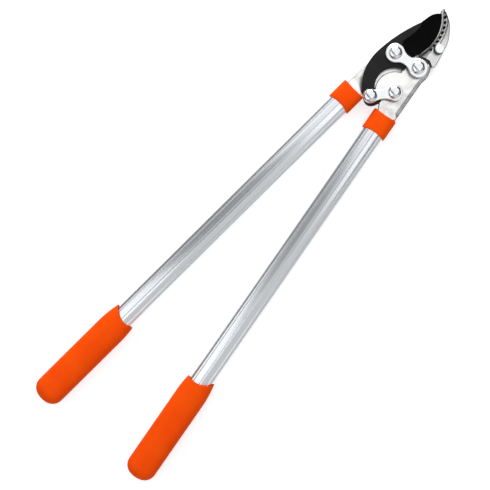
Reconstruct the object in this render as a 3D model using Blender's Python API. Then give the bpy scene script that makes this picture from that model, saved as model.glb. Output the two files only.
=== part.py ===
"""Compound action bypass lopper with a serrated hook, lying flat and closed.

The hook, the front strap and the left handle form one frame. The right handle turns on the
main pivot, and a short drive link carries its motion to the tail of the blade, which turns
on its own pivot. All sizes are in millimetres and MM turns them into metres. The origin is
on the main pivot at floor level, +Y points to the jaws and +Z is up, towards the bolt heads.
"""
import math

import bpy
import bmesh
from mathutils import Matrix, Vector

MM = 0.001
GAP = 0.3

# Pivots of the linkage, seen from above with the handles closed
MAIN_PIVOT = (0.0, 0.0)
BLADE_PIVOT = (-36.7, -4.2)
LINK_PIVOT = (-3.2, -45.8)
TAIL_PIVOT = (-25.2, -70.5)

# Heights of the stacked flat parts, bottom and top of each layer
HOOK_LAYER = (6.5, 11.0)
LEVER_LAYER = (11.3, 15.8)
BLADE_LAYER = (16.1, 20.3)
STRAP_LAYER = (20.6, 24.6)
JAW_BOTTOM = 6.2

# Bolts, nuts and spacers
SHANK_RADIUS = 4.0
HEAD_RADIUS = 9.2
HEAD_HEIGHT = 5.2
WASHER_RADIUS = 8.6
WASHER_THICKNESS = 1.0
NUT_ACROSS_CORNERS = 15.0
NUT_HEIGHT = 4.6
BLADE_SPACER_RADIUS = 9.0
MAIN_SPACER_RADIUS = 9.0
LINK_SPACER_RADIUS = 8.0
RIVET_RADIUS = 3.5
TAIL_HOLE_RADIUS = 5.6

# Lobes of the strap, link, lever and hook, and the lever's bevelled side
STRAP_LOBE = 13.1
STRAP_WAIST = 6.7
LINK_LOBE = 11.4
TAIL_LOBE = 9.8
LINK_WAIST = 6.5
LEVER_HEAD = 17.3
LEVER_DISC_CENTRE = (-3.7, -43.0)
LEVER_DISC = 27.1
HOOK_LOBE = 19.0
HOOK_SHOULDER = 19.9
BLADE_SEAT_LOBE = 13.4
LEVER_SIDE_POINT = (18.9, -3.0)
SIDE_BEVEL_WIDTH = 3.4
SIDE_BEVEL_SLOPE = 0.61

# Blade outline as arcs, and its hollow-ground face
EDGE_ARC_CENTRE = (-64.7, 37.7)
EDGE_ARC_RADIUS = 58.5
SPINE_ARC_CENTRE = (153.0, -43.3)
SPINE_ARC_RADIUS = 211.3
CRESCENT_CENTRE = (-7.5, -39.7)
CRESCENT_RADIUS = 26.9
EDGE_LAND = 0.5
HONED_WIDTH = 1.8
HONED_RISE = 1.1
GRIND_SLOPE = 0.24

# Serrated band of the hook, a row of round gullets sunk into a slope
JAW_BEVEL_DROP = 3.4
JAW_RIM = 1.4
BAND_WIDTH_AT_TIP = 6.0
BAND_WIDTH = 9.8
BAND_FULL_AT = 0.115
GULLET_COUNT = 9
GULLET_START = 3.8
GULLET_PITCH = 6.45
GULLET_OFFSET = 5.5
GULLET_RADIUS = 2.4
GULLET_FOOT_RADIUS = 1.5
GULLET_DEPTH = 2.0
STUD_RADIUS = 6.1
STUD_TOP = 26.0
STUD_PLACE = (5.2, 38.0)

# Handles, measured down each axis from the line through the main pivot
HANDLE_TILT = math.radians(5.27)
AXIS_X = {"left": -41.3, "right": 0.3}
MID_HEIGHT = 14.0
TANG_HALF_WIDTH = 12.4
TANG_END = 150.0
JOGGLE_START = 54.0
JOGGLE_END = 73.0
COLLAR_START = 76.2
COLLAR_END = 106.4
COLLAR_HALF = (17.5, 11.6)
COLLAR_SCALLOPS = (115.0, 85.0)
TUBE_START = 84.0
TUBE_END = 640.0
TUBE_HALF = (15.9, 9.9)
TUBE_WALL = 1.5
GROOVE_SPACING = 9.5
GROOVE_DEPTH = 0.5
GROOVE_WIDTH = 0.9
INSERT_END = 156.0
PIN_RADIUS = 2.0
PIN_STATIONS = (91.0, 100.0)
GRIP_START = 503.0
GRIP_END = 671.0
GRIP_HALF = (21.0, 14.5)
GRIP_MOUTH_HALF = (17.2, 12.2)
GRIP_TAPER = 34.0
GRIP_DOME = 18.0
GRIP_MOUTH_RADIUS = 34.0
GRIP_MOUTH_CENTRE = (8.0, 484.6)


def clear_scene():
    """Remove every object so that the script can be run again."""
    for thing in list(bpy.data.objects):
        bpy.data.objects.remove(thing, do_unlink=True)


def make_material(name, colour, roughness, metallic):
    """Make one Principled material from a linear colour."""
    material = bpy.data.materials.new(name)
    material.use_nodes = True
    shader = material.node_tree.nodes["Principled BSDF"]
    shader.inputs["Base Color"].default_value = (*colour, 1.0)
    shader.inputs["Roughness"].default_value = roughness
    shader.inputs["Metallic"].default_value = metallic
    material.diffuse_color = (*colour, 1.0)
    return material


def make_empty(name, place, parent=None, turn=0.0):
    """Make an empty at a joint or on a handle's axis."""
    empty = bpy.data.objects.new(name, None)
    bpy.context.collection.objects.link(empty)
    empty.location = Vector(place) * MM
    empty.rotation_euler = (0.0, 0.0, turn)
    empty.parent = parent
    return empty


def link_mesh(name, bm, material, parent=None, origin=(0.0, 0.0, 0.0), round_piece=True):
    """Turn a bmesh in millimetres into an object whose origin is the given point."""
    bmesh.ops.recalc_face_normals(bm, faces=bm.faces)
    bmesh.ops.transform(bm, matrix=Matrix.Translation(-Vector(origin)), verts=bm.verts)
    bmesh.ops.scale(bm, vec=(MM, MM, MM), verts=bm.verts)
    mesh = bpy.data.meshes.new(name)
    bm.to_mesh(mesh)
    bm.free()
    if round_piece:
        mesh.shade_smooth()
        mesh.set_sharp_from_angle(angle=math.radians(35.0))
    thing = bpy.data.objects.new(name, mesh)
    bpy.context.collection.objects.link(thing)
    if material is not None:
        mesh.materials.append(material)
    thing.parent = parent
    thing.location = Vector(origin) * MM
    return thing


def hide_cutter(thing):
    """Mark an object as a cutter, which the model itself leaves out."""
    thing.hide_render = True
    thing.display_type = "WIRE"
    return thing


def add_boolean(thing, other, operation="DIFFERENCE"):
    """Cut one object with another, or join them."""
    modifier = thing.modifiers.new(operation.title(), "BOOLEAN")
    modifier.operation = operation
    modifier.solver = "EXACT"
    modifier.object = other


def add_bevel(thing, width, segments=1, angle=50.0):
    """Round the sharp rims of a flat part."""
    modifier = thing.modifiers.new("Rim", "BEVEL")
    modifier.width = width * MM
    modifier.segments = segments
    modifier.limit_method = "ANGLE"
    modifier.angle_limit = math.radians(angle)
    modifier.use_clamp_overlap = True


def arc(centre, radius, start, end, steps):
    """Points on a circle from one angle to another, in degrees."""
    points = []
    for step in range(steps + 1):
        angle = math.radians(start + (end - start) * step / steps)
        points.append((centre[0] + radius * math.cos(angle), centre[1] + radius * math.sin(angle)))
    return points


def angle_from(centre, point):
    """Polar angle of a point seen from a centre, in degrees."""
    return math.degrees(math.atan2(point[1] - centre[1], point[0] - centre[0]))


def smooth(points, steps=4):
    """A Catmull-Rom curve through a few points."""
    knots = [Vector(p) for p in points]
    knots.insert(0, 2 * knots[0] - knots[1])
    knots.append(2 * knots[-1] - knots[-2])
    curve = []
    for a, b, c, d in zip(knots, knots[1:], knots[2:], knots[3:]):
        for step in range(steps):
            t = step / steps
            place = b + 0.5 * t * (c - a + t * (2 * a - 5 * b + 4 * c - d + t * (3 * (b - c) + d - a)))
            curve.append(tuple(place))
    curve.append(tuple(knots[-2]))
    return curve


def resample(points, count):
    """Points at equal steps of length along a polyline."""
    knots = [Vector(p) for p in points]
    lengths = [0.0]
    for a, b in zip(knots, knots[1:]):
        lengths.append(lengths[-1] + (b - a).length)
    even = []
    segment = 0
    for index in range(count):
        target = lengths[-1] * index / (count - 1)
        while segment < len(knots) - 2 and lengths[segment + 1] < target:
            segment += 1
        span = lengths[segment + 1] - lengths[segment]
        even.append(knots[segment].lerp(knots[segment + 1], (target - lengths[segment]) / span))
    return even


def dog_bone(first, first_radius, second, second_radius, waist):
    """Outline of a link: two round lobes joined by hollow sides of one radius."""
    span = Vector(second) - Vector(first)
    length = span.length

    def reach(hollow):
        near = math.sqrt((first_radius - waist) * (first_radius + waist + 2 * hollow))
        far = math.sqrt((second_radius - waist) * (second_radius + waist + 2 * hollow))
        return near, far

    low, high = 0.0, 50.0 * length
    for _ in range(60):
        hollow = 0.5 * (low + high)
        if sum(reach(hollow)) < length:
            low = hollow
        else:
            high = hollow
    middle = reach(hollow)[0]
    rise = waist + hollow
    near = math.degrees(math.atan2(rise, middle))
    far = math.degrees(math.atan2(rise, middle - length))
    local = arc((0.0, 0.0), first_radius, near, 360.0 - near, 16)
    local += arc((middle, -rise), hollow, 180.0 - near, 180.0 - far, 6)[1:-1]
    local += arc((length, 0.0), second_radius, -far, far, 16)
    local += arc((middle, rise), hollow, far - 180.0, near - 180.0, 6)[1:-1]
    turn = Matrix.Rotation(math.atan2(span.y, span.x), 2)
    return [tuple(Vector(first) + turn @ Vector(p)) for p in local]


def superellipse(half_x, half_y, power, count):
    """Points round an oval whose power sets how square it is."""
    points = []
    for index in range(count):
        angle = 2.0 * math.pi * index / count
        x = math.copysign(abs(math.cos(angle)) ** (2.0 / power), math.cos(angle))
        y = math.copysign(abs(math.sin(angle)) ** (2.0 / power), math.sin(angle))
        points.append((half_x * x, half_y * y))
    return points


def prism(outline, bottom, top):
    """Extrude a flat outline between two heights."""
    bm = bmesh.new()
    face = bm.faces.new([bm.verts.new((x, y, bottom)) for x, y in outline])
    raised = bmesh.ops.extrude_face_region(bm, geom=[face])["geom"]
    corners = [item for item in raised if isinstance(item, bmesh.types.BMVert)]
    bmesh.ops.translate(bm, vec=(0.0, 0.0, top - bottom), verts=corners)
    return bm


def loft(rings):
    """Skin a row of rings with the same number of points and close both ends."""
    bm = bmesh.new()
    rows = [[bm.verts.new(point) for point in ring] for ring in rings]
    for row, following in zip(rows, rows[1:]):
        for index in range(len(row)):
            after = (index + 1) % len(row)
            bm.faces.new((row[index], row[after], following[after], following[index]))
    bm.faces.new(rows[0][::-1])
    bm.faces.new(rows[-1])
    return bm


def add_turned(bm, place, profile, steps=20):
    """Spin a profile of radius and height about a vertical axis and add it to a bmesh."""
    rows = []
    for radius, height in profile:
        row = []
        for index in range(steps):
            angle = 2.0 * math.pi * index / steps
            x = place[0] + radius * math.cos(angle)
            y = place[1] + radius * math.sin(angle)
            row.append(bm.verts.new((x, y, height)))
        rows.append(row)
    for row, following in zip(rows, rows[1:]):
        for index in range(steps):
            after = (index + 1) % steps
            bm.faces.new((row[index], row[after], following[after], following[index]))
    bm.faces.new(rows[0][::-1])
    bm.faces.new(rows[-1])


def turned(name, place, profile, material, parent=None, origin=(0.0, 0.0, 0.0), steps=20):
    """Make a single turned part."""
    bm = bmesh.new()
    add_turned(bm, place, profile, steps)
    return link_mesh(name, bm, material, parent, origin)


def ring_with_bore(name, place, outer, bore, bottom, top, material, parent=None):
    """Make a spacer or washer: a short tube with small chamfers."""
    chamfer = 0.3
    bm = bmesh.new()
    profile = (
        (bore, bottom),
        (outer - chamfer, bottom),
        (outer, bottom + chamfer),
        (outer, top - chamfer),
        (outer - chamfer, top),
        (bore, top),
    )
    steps = 20
    rows = []
    for radius, height in profile:
        row = []
        for index in range(steps):
            angle = 2.0 * math.pi * index / steps
            x = place[0] + radius * math.cos(angle)
            y = place[1] + radius * math.sin(angle)
            row.append(bm.verts.new((x, y, height)))
        rows.append(row)
    rows.append(rows[0])
    for row, following in zip(rows, rows[1:]):
        for index in range(steps):
            after = (index + 1) % steps
            bm.faces.new((row[index], row[after], following[after], following[index]))
    return link_mesh(name, bm, material, parent)


def drill(thing, holes, bottom, top, parent=None):
    """Cut round holes, given as centre and radius, through a part."""
    bm = bmesh.new()
    for place, radius in holes:
        add_turned(bm, place, ((radius, bottom), (radius, top)))
    cutter = link_mesh(thing.name + "_drill", bm, None, parent)
    add_boolean(thing, hide_cutter(cutter))


def handle_point(side, along, across):
    """Plan position of a point given along and across a handle's axis."""
    lean = HANDLE_TILT if side == "right" else -HANDLE_TILT
    x = AXIS_X[side] + along * math.sin(lean) + across * math.cos(lean)
    y = -along * math.cos(lean) + across * math.sin(lean)
    return (x, y)


def jaw_curves(count):
    """Inner biting edge and outer back of the hook, from the tip to below the shoulder."""
    inner = [(-25.8, 82.0), (-22.8, 77.0), (-14.4, 65.5), (-8.7, 50.5)]
    inner += [(-7.3, 34.0), (-10.6, 17.5), (-15.0, 9.0)]
    outer = [(-24.6, 86.0), (-19.0, 84.0), (-3.4, 73.2), (8.2, 56.0)]
    outer += [(13.3, 37.0), (16.4, 21.0), (17.8, 10.0)]
    return resample(smooth(inner, 6), count), resample(smooth(outer, 6), count)


def jaw_band_width(share, span):
    """Width of the sloping band at a share of the hook's length, narrower at the tip."""
    widening = (BAND_WIDTH - BAND_WIDTH_AT_TIP) * min(1.0, share / BAND_FULL_AT)
    return min(BAND_WIDTH_AT_TIP + widening, 0.85 * span)


def make_jaw_blank():
    """Loft the hook's thick jaw, with the sloping band along its biting edge."""
    count = 25
    inner, outer = jaw_curves(count)
    low, high = JAW_BOTTOM, LEVER_LAYER[1]
    rings = []
    for index in range(count):
        start, end = inner[index], outer[index]
        out = (end - start).normalized()
        span = (end - start).length
        rim = min(JAW_RIM, 0.12 * span)
        crest = start + out * jaw_band_width(index / (count - 1), span)
        brow = end - out * rim
        rings.append((
            (start.x, start.y, low),
            (start.x, start.y, high - JAW_BEVEL_DROP),
            (crest.x, crest.y, high),
            (brow.x, brow.y, high),
            (end.x, end.y, high - rim),
            (end.x, end.y, low + rim),
            (brow.x, brow.y, low),
        ))
    blank = hide_cutter(link_mesh("jaw_blank", loft(rings), None, round_piece=False))
    relief = arc(MAIN_PIVOT, HOOK_SHOULDER, 165.0, 50.0, 24)
    relief += [(17.5, 18.1), (40.0, 30.0), (40.0, -40.0), (-40.0, -40.0), (-40.0, 5.0)]
    cutter = link_mesh("shoulder_cutter", prism(relief, HOOK_LAYER[1] - 0.4, 30.0), None)
    add_boolean(blank, hide_cutter(cutter))
    return blank


def make_gullet_cutter():
    """A row of tapered round pits, each square to the slope of the band."""
    samples = 121
    inner, outer = jaw_curves(samples)
    length = sum((b - a).length for a, b in zip(inner, inner[1:]))
    bm = bmesh.new()
    for number in range(GULLET_COUNT):
        share = (GULLET_START + GULLET_PITCH * number) / length
        index = round(share * (samples - 1))
        start, end = inner[index], outer[index]
        out = (end - start).normalized()
        band = jaw_band_width(share, (end - start).length)
        offset = min(GULLET_OFFSET, 0.6 * band)
        fall = JAW_BEVEL_DROP * (1.0 - offset / band)
        place = start + out * offset
        slope = JAW_BEVEL_DROP / band
        normal = Vector((-out.x * slope, -out.y * slope, 1.0)).normalized()
        turn = normal.to_track_quat("Z", "Y").to_matrix().to_4x4()
        seat = Vector((place.x, place.y, LEVER_LAYER[1] - fall))
        bmesh.ops.create_cone(
            bm, cap_ends=True, segments=12, radius1=GULLET_FOOT_RADIUS,
            radius2=2.0 * GULLET_RADIUS - GULLET_FOOT_RADIUS, depth=2.0 * GULLET_DEPTH,
            matrix=Matrix.Translation(seat) @ turn,
        )
    return hide_cutter(link_mesh("gullet_cutter", bm, None))


def joggle(height_change, along):
    """Rise of the left tang where it steps up from the hook's layer to the tube's middle."""
    share = (along - JOGGLE_START) / (JOGGLE_END - JOGGLE_START)
    share = min(1.0, max(0.0, share))
    return height_change * share * share * (3.0 - 2.0 * share)


def make_hook_plate(steel):
    """The fixed frame plate: tang, pivot lobes and the serrated hook in one piece."""
    tang = TANG_HALF_WIDTH
    outline = [(17.3, 14.6), (18.5, 7.0)] + arc(MAIN_PIVOT, HOOK_LOBE, 4.0, -100.0, 12)
    outline += smooth(((-10.5, -22.5), (-22.5, -35.0), handle_point("left", 52.0, tang - 1.0)), 4)
    outline += [handle_point("left", 58.0, tang), handle_point("left", TANG_END - 3.0, tang)]
    outline += [handle_point("left", TANG_END, tang - 3.0), handle_point("left", TANG_END, 3.0 - tang)]
    outline += [handle_point("left", TANG_END - 3.0, -tang), handle_point("left", 40.0, -tang)]
    outline += arc(BLADE_PIVOT, BLADE_SEAT_LOBE, 178.0, 88.0, 8)
    throat = [(-28.0, 8.6), (-20.0, 9.6), (-13.5, 13.0), (-8.0, 22.0), (4.0, 26.0), (15.4, 21.0)]
    outline += smooth(throat, 3)
    bm = prism(outline[::-1], *HOOK_LAYER)
    axis_point = Vector((*handle_point("left", 0.0, 0.0), 0.0))
    down = Vector((*handle_point("left", 1.0, 0.0), 0.0)) - axis_point
    for step in range(6):
        along = JOGGLE_START + (JOGGLE_END - JOGGLE_START) * step / 5
        geom = bm.verts[:] + bm.edges[:] + bm.faces[:]
        bmesh.ops.bisect_plane(bm, geom=geom, plane_co=axis_point + down * along, plane_no=down)
    rise = LEVER_LAYER[0] - HOOK_LAYER[0]
    for vertex in bm.verts:
        along = (vertex.co - axis_point).dot(down)
        if along > JOGGLE_START:
            vertex.co.z += joggle(rise, along)
    plate = link_mesh("hook_plate", bm, steel, round_piece=False)
    add_boolean(plate, make_jaw_blank(), "UNION")
    add_boolean(plate, make_gullet_cutter())
    holes = [(MAIN_PIVOT, SHANK_RADIUS + GAP), (BLADE_PIVOT, SHANK_RADIUS + GAP)]
    holes += [(handle_point("left", station, 0.0), PIN_RADIUS + GAP) for station in PIN_STATIONS]
    holes.append((STUD_PLACE, 2.8))
    drill(plate, holes, 0.0, 30.0)
    return plate


def make_front_strap(zinc):
    """The dog-bone strap over the blade that ties both pivot bolts together."""
    outline = dog_bone(BLADE_PIVOT, STRAP_LOBE, MAIN_PIVOT, STRAP_LOBE, STRAP_WAIST)
    strap = link_mesh("front_strap", prism(outline, *STRAP_LAYER), zinc)
    add_bevel(strap, 1.2, 2)
    holes = [(BLADE_PIVOT, SHANK_RADIUS + GAP), (MAIN_PIVOT, SHANK_RADIUS + GAP)]
    drill(strap, holes, 15.0, 30.0)
    return strap


def blade_grind_curves(count):
    """Upper border of the ground face and the honed edge, both from the tip down."""
    spine = [(-23.0, 76.4), (-27.2, 73.6), (-30.8, 69.2), (-33.2, 63.8), (-34.6, 58.0), (-36.2, 52.0)]
    inner = [(-33.6, 42.0), (-36.0, 27.0), (-38.6, 15.0), (-32.0, 7.5), (-15.6, 6.5)]
    border = smooth(spine + inner, 4)
    top = angle_from(EDGE_ARC_CENTRE, (-21.6, 76.8))
    bottom = angle_from(EDGE_ARC_CENTRE, (-9.6, 18.6))
    edge = arc(EDGE_ARC_CENTRE, EDGE_ARC_RADIUS, top, bottom, 30)
    return resample(border, count), resample(edge, count)


def grind_rings():
    """The grinding wheel's path, which leaves a sloping face and a steeper honed strip."""
    border, edge = blade_grind_curves(24)
    for curve in (border, edge):
        curve.insert(0, curve[0] + Vector((0.4, 2.4)))
        curve.append(curve[-1] + Vector((2.7, -1.4)))
    floor, high = BLADE_LAYER
    rings = []
    for start, end in zip(border, edge):
        span = (end - start).length
        out = (end - start).normalized()
        honed = min(HONED_WIDTH, 0.5 * span)
        rise_at_honed = floor + EDGE_LAND + HONED_RISE
        rise_at_start = min(high + 0.05, rise_at_honed + GRIND_SLOPE * (span - honed))
        slope = (rise_at_start - rise_at_honed) / (span - honed)
        back = start - out * 1.5
        seam = end - out * honed
        beyond = end + out * 2.0
        drop = floor + EDGE_LAND - 2.0 * HONED_RISE / HONED_WIDTH
        rings.append((
            (back.x, back.y, rise_at_start + 1.5 * slope),
            (seam.x, seam.y, rise_at_honed),
            (end.x, end.y, floor + EDGE_LAND),
            (beyond.x, beyond.y, drop),
            (beyond.x, beyond.y, 30.0),
            (back.x, back.y, 30.0),
        ))
    return rings


def make_blade(parent, black_steel):
    """The bypass blade: belly, ground face, crescent round the lever and tail eye."""
    spine_top = angle_from(SPINE_ARC_CENTRE, (-36.2, 52.0))
    spine_foot = angle_from(SPINE_ARC_CENTRE, (-57.2, -22.0))
    nose = [(-21.6, 76.8), (-23.0, 76.4), (-27.2, 73.6), (-30.8, 69.2), (-33.2, 63.8), (-34.6, 58.0)]
    outline = smooth(nose, 2)
    outline += arc(SPINE_ARC_CENTRE, SPINE_ARC_RADIUS, spine_top % 360.0, spine_foot % 360.0, 12)
    tail = [(-57.1, -29.0), (-56.2, -36.8), (-53.3, -48.2), (-47.4, -60.6)]
    tail += [(-40.2, -70.6), (-34.2, -75.2), (-29.5, -78.8)]
    outline += smooth(tail, 2)
    outline += smooth(((-24.5, -81.6), (-18.4, -81.2), (-13.2, -76.6), (-9.6, -69.5)), 3)
    outline += smooth(((-10.2, -63.8), (-15.0, -60.6), (-22.0, -60.0)), 2)
    crescent_foot = angle_from(CRESCENT_CENTRE, (-28.4, -58.4)) % 360.0
    crescent_top = angle_from(CRESCENT_CENTRE, (-12.0, -13.7)) % 360.0
    outline += arc(CRESCENT_CENTRE, CRESCENT_RADIUS, crescent_foot, crescent_top, 18)
    outline += [(-14.2, -4.0), (-15.6, 6.0)]
    edge_foot = angle_from(EDGE_ARC_CENTRE, (-9.6, 18.6))
    edge_top = angle_from(EDGE_ARC_CENTRE, (-20.8, 76.2))
    outline += arc(EDGE_ARC_CENTRE, EDGE_ARC_RADIUS, edge_foot, edge_top, 20)
    blade = link_mesh("blade", prism(outline[::-1], *BLADE_LAYER), black_steel, round_piece=False)
    cutter = link_mesh("grind_cutter", loft(grind_rings()), None)
    add_boolean(blade, hide_cutter(cutter))
    drill(blade, [(BLADE_PIVOT, SHANK_RADIUS + GAP), (TAIL_PIVOT, TAIL_HOLE_RADIUS)], 10.0, 30.0)
    centre_on(blade, parent, BLADE_PIVOT)
    return blade


def centre_on(thing, parent, place):
    """Move a part's origin to its joint and hang it on that joint's empty."""
    offset = Vector((place[0], place[1], 0.0)) * MM
    thing.data.transform(Matrix.Translation(-offset))
    thing.parent = parent


def make_lever_plate(parent, steel):
    """The moving frame plate: round head, broad disc and tang with one bevelled side."""
    tang = TANG_HALF_WIDTH
    edge_foot = handle_point("right", 72.5, 16.7)
    side = (Vector(edge_foot) - Vector(LEVER_SIDE_POINT)).normalized()
    touch = math.degrees(math.atan2(side.x, -side.y))
    outline = arc(MAIN_PIVOT, LEVER_HEAD, touch, 196.0, 16)
    outline += arc(LEVER_DISC_CENTRE, LEVER_DISC, 112.0, 258.0, 24)
    outline += [handle_point("right", 76.0, -tang - 0.2), handle_point("right", TANG_END - 3.0, -tang)]
    outline += [handle_point("right", TANG_END, across) for across in (3.0 - tang, tang - 3.0)]
    outline += [handle_point("right", TANG_END - 3.0, tang), handle_point("right", 76.0, tang)]
    outline += [handle_point("right", 75.2, 13.4), handle_point("right", 74.2, 16.3), edge_foot]
    plate = link_mesh("lever_plate", prism(outline, *LEVER_LAYER), steel, parent, round_piece=False)
    top = LEVER_LAYER[1]
    across = Vector((-side.y, side.x))
    rings = []
    for along in (-30.0, 75.0):
        start = Vector(LEVER_SIDE_POINT) + side * along
        inside = start - across * SIDE_BEVEL_WIDTH
        beyond = start + across * SIDE_BEVEL_WIDTH
        rings.append((
            (inside.x, inside.y, top),
            (beyond.x, beyond.y, top - 2.0 * SIDE_BEVEL_WIDTH * SIDE_BEVEL_SLOPE),
            (beyond.x, beyond.y, top + 4.0),
            (inside.x, inside.y, top + 4.0),
        ))
    cutter = link_mesh("side_bevel_cutter", loft(rings), None, parent)
    add_boolean(plate, hide_cutter(cutter))
    holes = [(MAIN_PIVOT, SHANK_RADIUS + GAP), (LINK_PIVOT, SHANK_RADIUS + GAP)]
    holes += [(handle_point("right", station, 0.0), PIN_RADIUS + GAP) for station in PIN_STATIONS]
    drill(plate, holes, 5.0, 25.0, parent)
    return plate


def make_drive_link(parent, zinc):
    """The short link between the lever and the blade's tail."""
    outline = dog_bone(LINK_PIVOT, LINK_LOBE, TAIL_PIVOT, TAIL_LOBE, LINK_WAIST)
    origin = (*LINK_PIVOT, 0.0)
    link = link_mesh("drive_link", prism(outline, *STRAP_LAYER), zinc, None, origin)
    add_bevel(link, 1.2, 2)
    bm = bmesh.new()
    for place, radius in ((LINK_PIVOT, SHANK_RADIUS + GAP), (TAIL_PIVOT, RIVET_RADIUS + GAP)):
        add_turned(bm, place, ((radius, 15.0), (radius, 30.0)))
    cutter = link_mesh("drive_link_drill", bm, None, parent, origin)
    cutter.location = (0.0, 0.0, 0.0)
    add_boolean(link, hide_cutter(cutter))
    link.parent = parent
    link.location = (0.0, 0.0, 0.0)
    return link


def dome_bolt(name, place, radius, bottom, zinc, parent=None, origin=(0.0, 0.0, 0.0)):
    """A bolt or rivet: domed head on top of the strap and a plain shank down to its end."""
    seat = STRAP_LAYER[1] + GAP
    profile = [(radius - 0.5, bottom), (radius, bottom + 0.5), (radius, seat)]
    profile += [(HEAD_RADIUS - 0.2, seat), (HEAD_RADIUS, seat + 0.5)]
    for step in range(1, 6):
        angle = math.radians(90.0 * step / 6)
        height = seat + 0.9 + (HEAD_HEIGHT - 0.9) * math.sin(angle)
        profile.append((HEAD_RADIUS * math.cos(angle) ** 0.8, height))
    profile.append((0.12 * HEAD_RADIUS, seat + HEAD_HEIGHT))
    return turned(name, place, profile, zinc, parent, origin)


def hex_nut(name, place, top, zinc, parent=None, origin=(0.0, 0.0, 0.0)):
    """A nylon-insert lock nut: a hexagon with a round collar underneath."""
    radius = 0.5 * NUT_ACROSS_CORNERS
    hexagon = arc(place, radius, 0.0, 300.0, 5)
    nut = link_mesh(name, prism(hexagon, top - NUT_HEIGHT + 1.2, top), zinc, parent, origin)
    collar_bm = bmesh.new()
    collar = ((5.2, top - NUT_HEIGHT), (5.9, top - NUT_HEIGHT + 0.7), (5.9, top - 1.0))
    add_turned(collar_bm, place, collar)
    ring = link_mesh(name + "_collar", collar_bm, None, parent, origin)
    add_boolean(nut, hide_cutter(ring), "UNION")
    bore_bm = bmesh.new()
    add_turned(bore_bm, place, ((SHANK_RADIUS + GAP, top - 10.0), (SHANK_RADIUS + GAP, top + 5.0)))
    bore = link_mesh(name + "_bore", bore_bm, None, parent, origin)
    add_boolean(nut, hide_cutter(bore))
    return nut


def make_fixed_fasteners(zinc):
    """Bolts, spacers, washers and nuts of the two pivots on the fixed frame."""
    dome_bolt("blade_pivot_bolt", BLADE_PIVOT, SHANK_RADIUS, 0.0, zinc)
    dome_bolt("main_pivot_bolt", MAIN_PIVOT, SHANK_RADIUS, 0.0, zinc)
    bore = SHANK_RADIUS + GAP
    ring_with_bore("blade_pivot_spacer", BLADE_PIVOT, BLADE_SPACER_RADIUS, bore, *LEVER_LAYER, zinc)
    ring_with_bore("main_pivot_spacer", MAIN_PIVOT, MAIN_SPACER_RADIUS, bore, *BLADE_LAYER, zinc)
    washer_top = HOOK_LAYER[0] - GAP
    washer_bottom = washer_top - WASHER_THICKNESS
    for name, place in (("blade_pivot", BLADE_PIVOT), ("main_pivot", MAIN_PIVOT)):
        ring_with_bore(name + "_washer", place, WASHER_RADIUS, bore, washer_bottom, washer_top, zinc)
        hex_nut(name + "_nut", place, washer_bottom - GAP, zinc)
    stud = (
        (2.5, JAW_BOTTOM + 0.3),
        (2.5, LEVER_LAYER[1] + GAP),
        (STUD_RADIUS - 0.3, LEVER_LAYER[1] + GAP),
        (STUD_RADIUS, LEVER_LAYER[1] + GAP + 0.3),
        (STUD_RADIUS, STUD_TOP - 1.2),
        (STUD_RADIUS - 0.5, STUD_TOP - 0.4),
        (STUD_RADIUS - 1.6, STUD_TOP),
    )
    turned("jaw_stud", STUD_PLACE, stud, zinc)


def make_link_fasteners(lever_axis, link_axis, zinc):
    """The bolt, spacer, washer and nut on the lever, and the rivet that rides with the link."""
    bore = SHANK_RADIUS + GAP
    washer_top = LEVER_LAYER[0] - GAP
    washer_bottom = washer_top - WASHER_THICKNESS
    nut_top = washer_bottom - GAP
    dome_bolt("link_bolt", LINK_PIVOT, SHANK_RADIUS, nut_top - NUT_HEIGHT - 0.3, zinc, lever_axis)
    ring_with_bore("link_spacer", LINK_PIVOT, LINK_SPACER_RADIUS, bore, *BLADE_LAYER, zinc, lever_axis)
    washer = (WASHER_RADIUS, bore, washer_bottom, washer_top)
    ring_with_bore("link_washer", LINK_PIVOT, *washer, zinc, lever_axis)
    hex_nut("link_nut", LINK_PIVOT, nut_top, zinc, lever_axis)
    origin = (*LINK_PIVOT, 0.0)
    rivet_foot = BLADE_LAYER[0] + 0.2
    rivet = dome_bolt("tail_rivet", TAIL_PIVOT, RIVET_RADIUS, rivet_foot, zinc, link_axis, origin)
    rivet.location = (0.0, 0.0, 0.0)


def tube_section(inset=0.0, grooved=True):
    """Cross-section of the oval handle tube, with shallow grooves on its two broad faces."""
    half_x, half_y = TUBE_HALF[0] - inset, TUBE_HALF[1] - inset
    power = 2.3
    if not grooved:
        return superellipse(half_x, half_y, power, 28)
    stations = [-half_x * math.cos(math.pi * step / 12) for step in range(13)]
    for centre in (-GROOVE_SPACING, 0.0, GROOVE_SPACING):
        stations = [x for x in stations if abs(x - centre) > 1.9 * GROOVE_WIDTH or abs(x) > 15.0]
        stations += [centre + offset * GROOVE_WIDTH for offset in (-1.6, -0.6, 0.6, 1.6)]
    upper = []
    for x in sorted(stations):
        y = half_y * (1.0 - min(1.0, abs(x) / half_x) ** power) ** (1.0 / power)
        for centre in (-GROOVE_SPACING, 0.0, GROOVE_SPACING):
            if abs(x - centre) < GROOVE_WIDTH:
                y -= GROOVE_DEPTH
        upper.append((x, y))
    lower = [(x, -y) for x, y in reversed(upper[1:-1])]
    return upper + lower


def handle_rings(section, stations):
    """Copies of a cross-section at distances down the handle, in the handle's own frame."""
    return [[(x, -along, z) for x, z in section] for along in stations]


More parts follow.
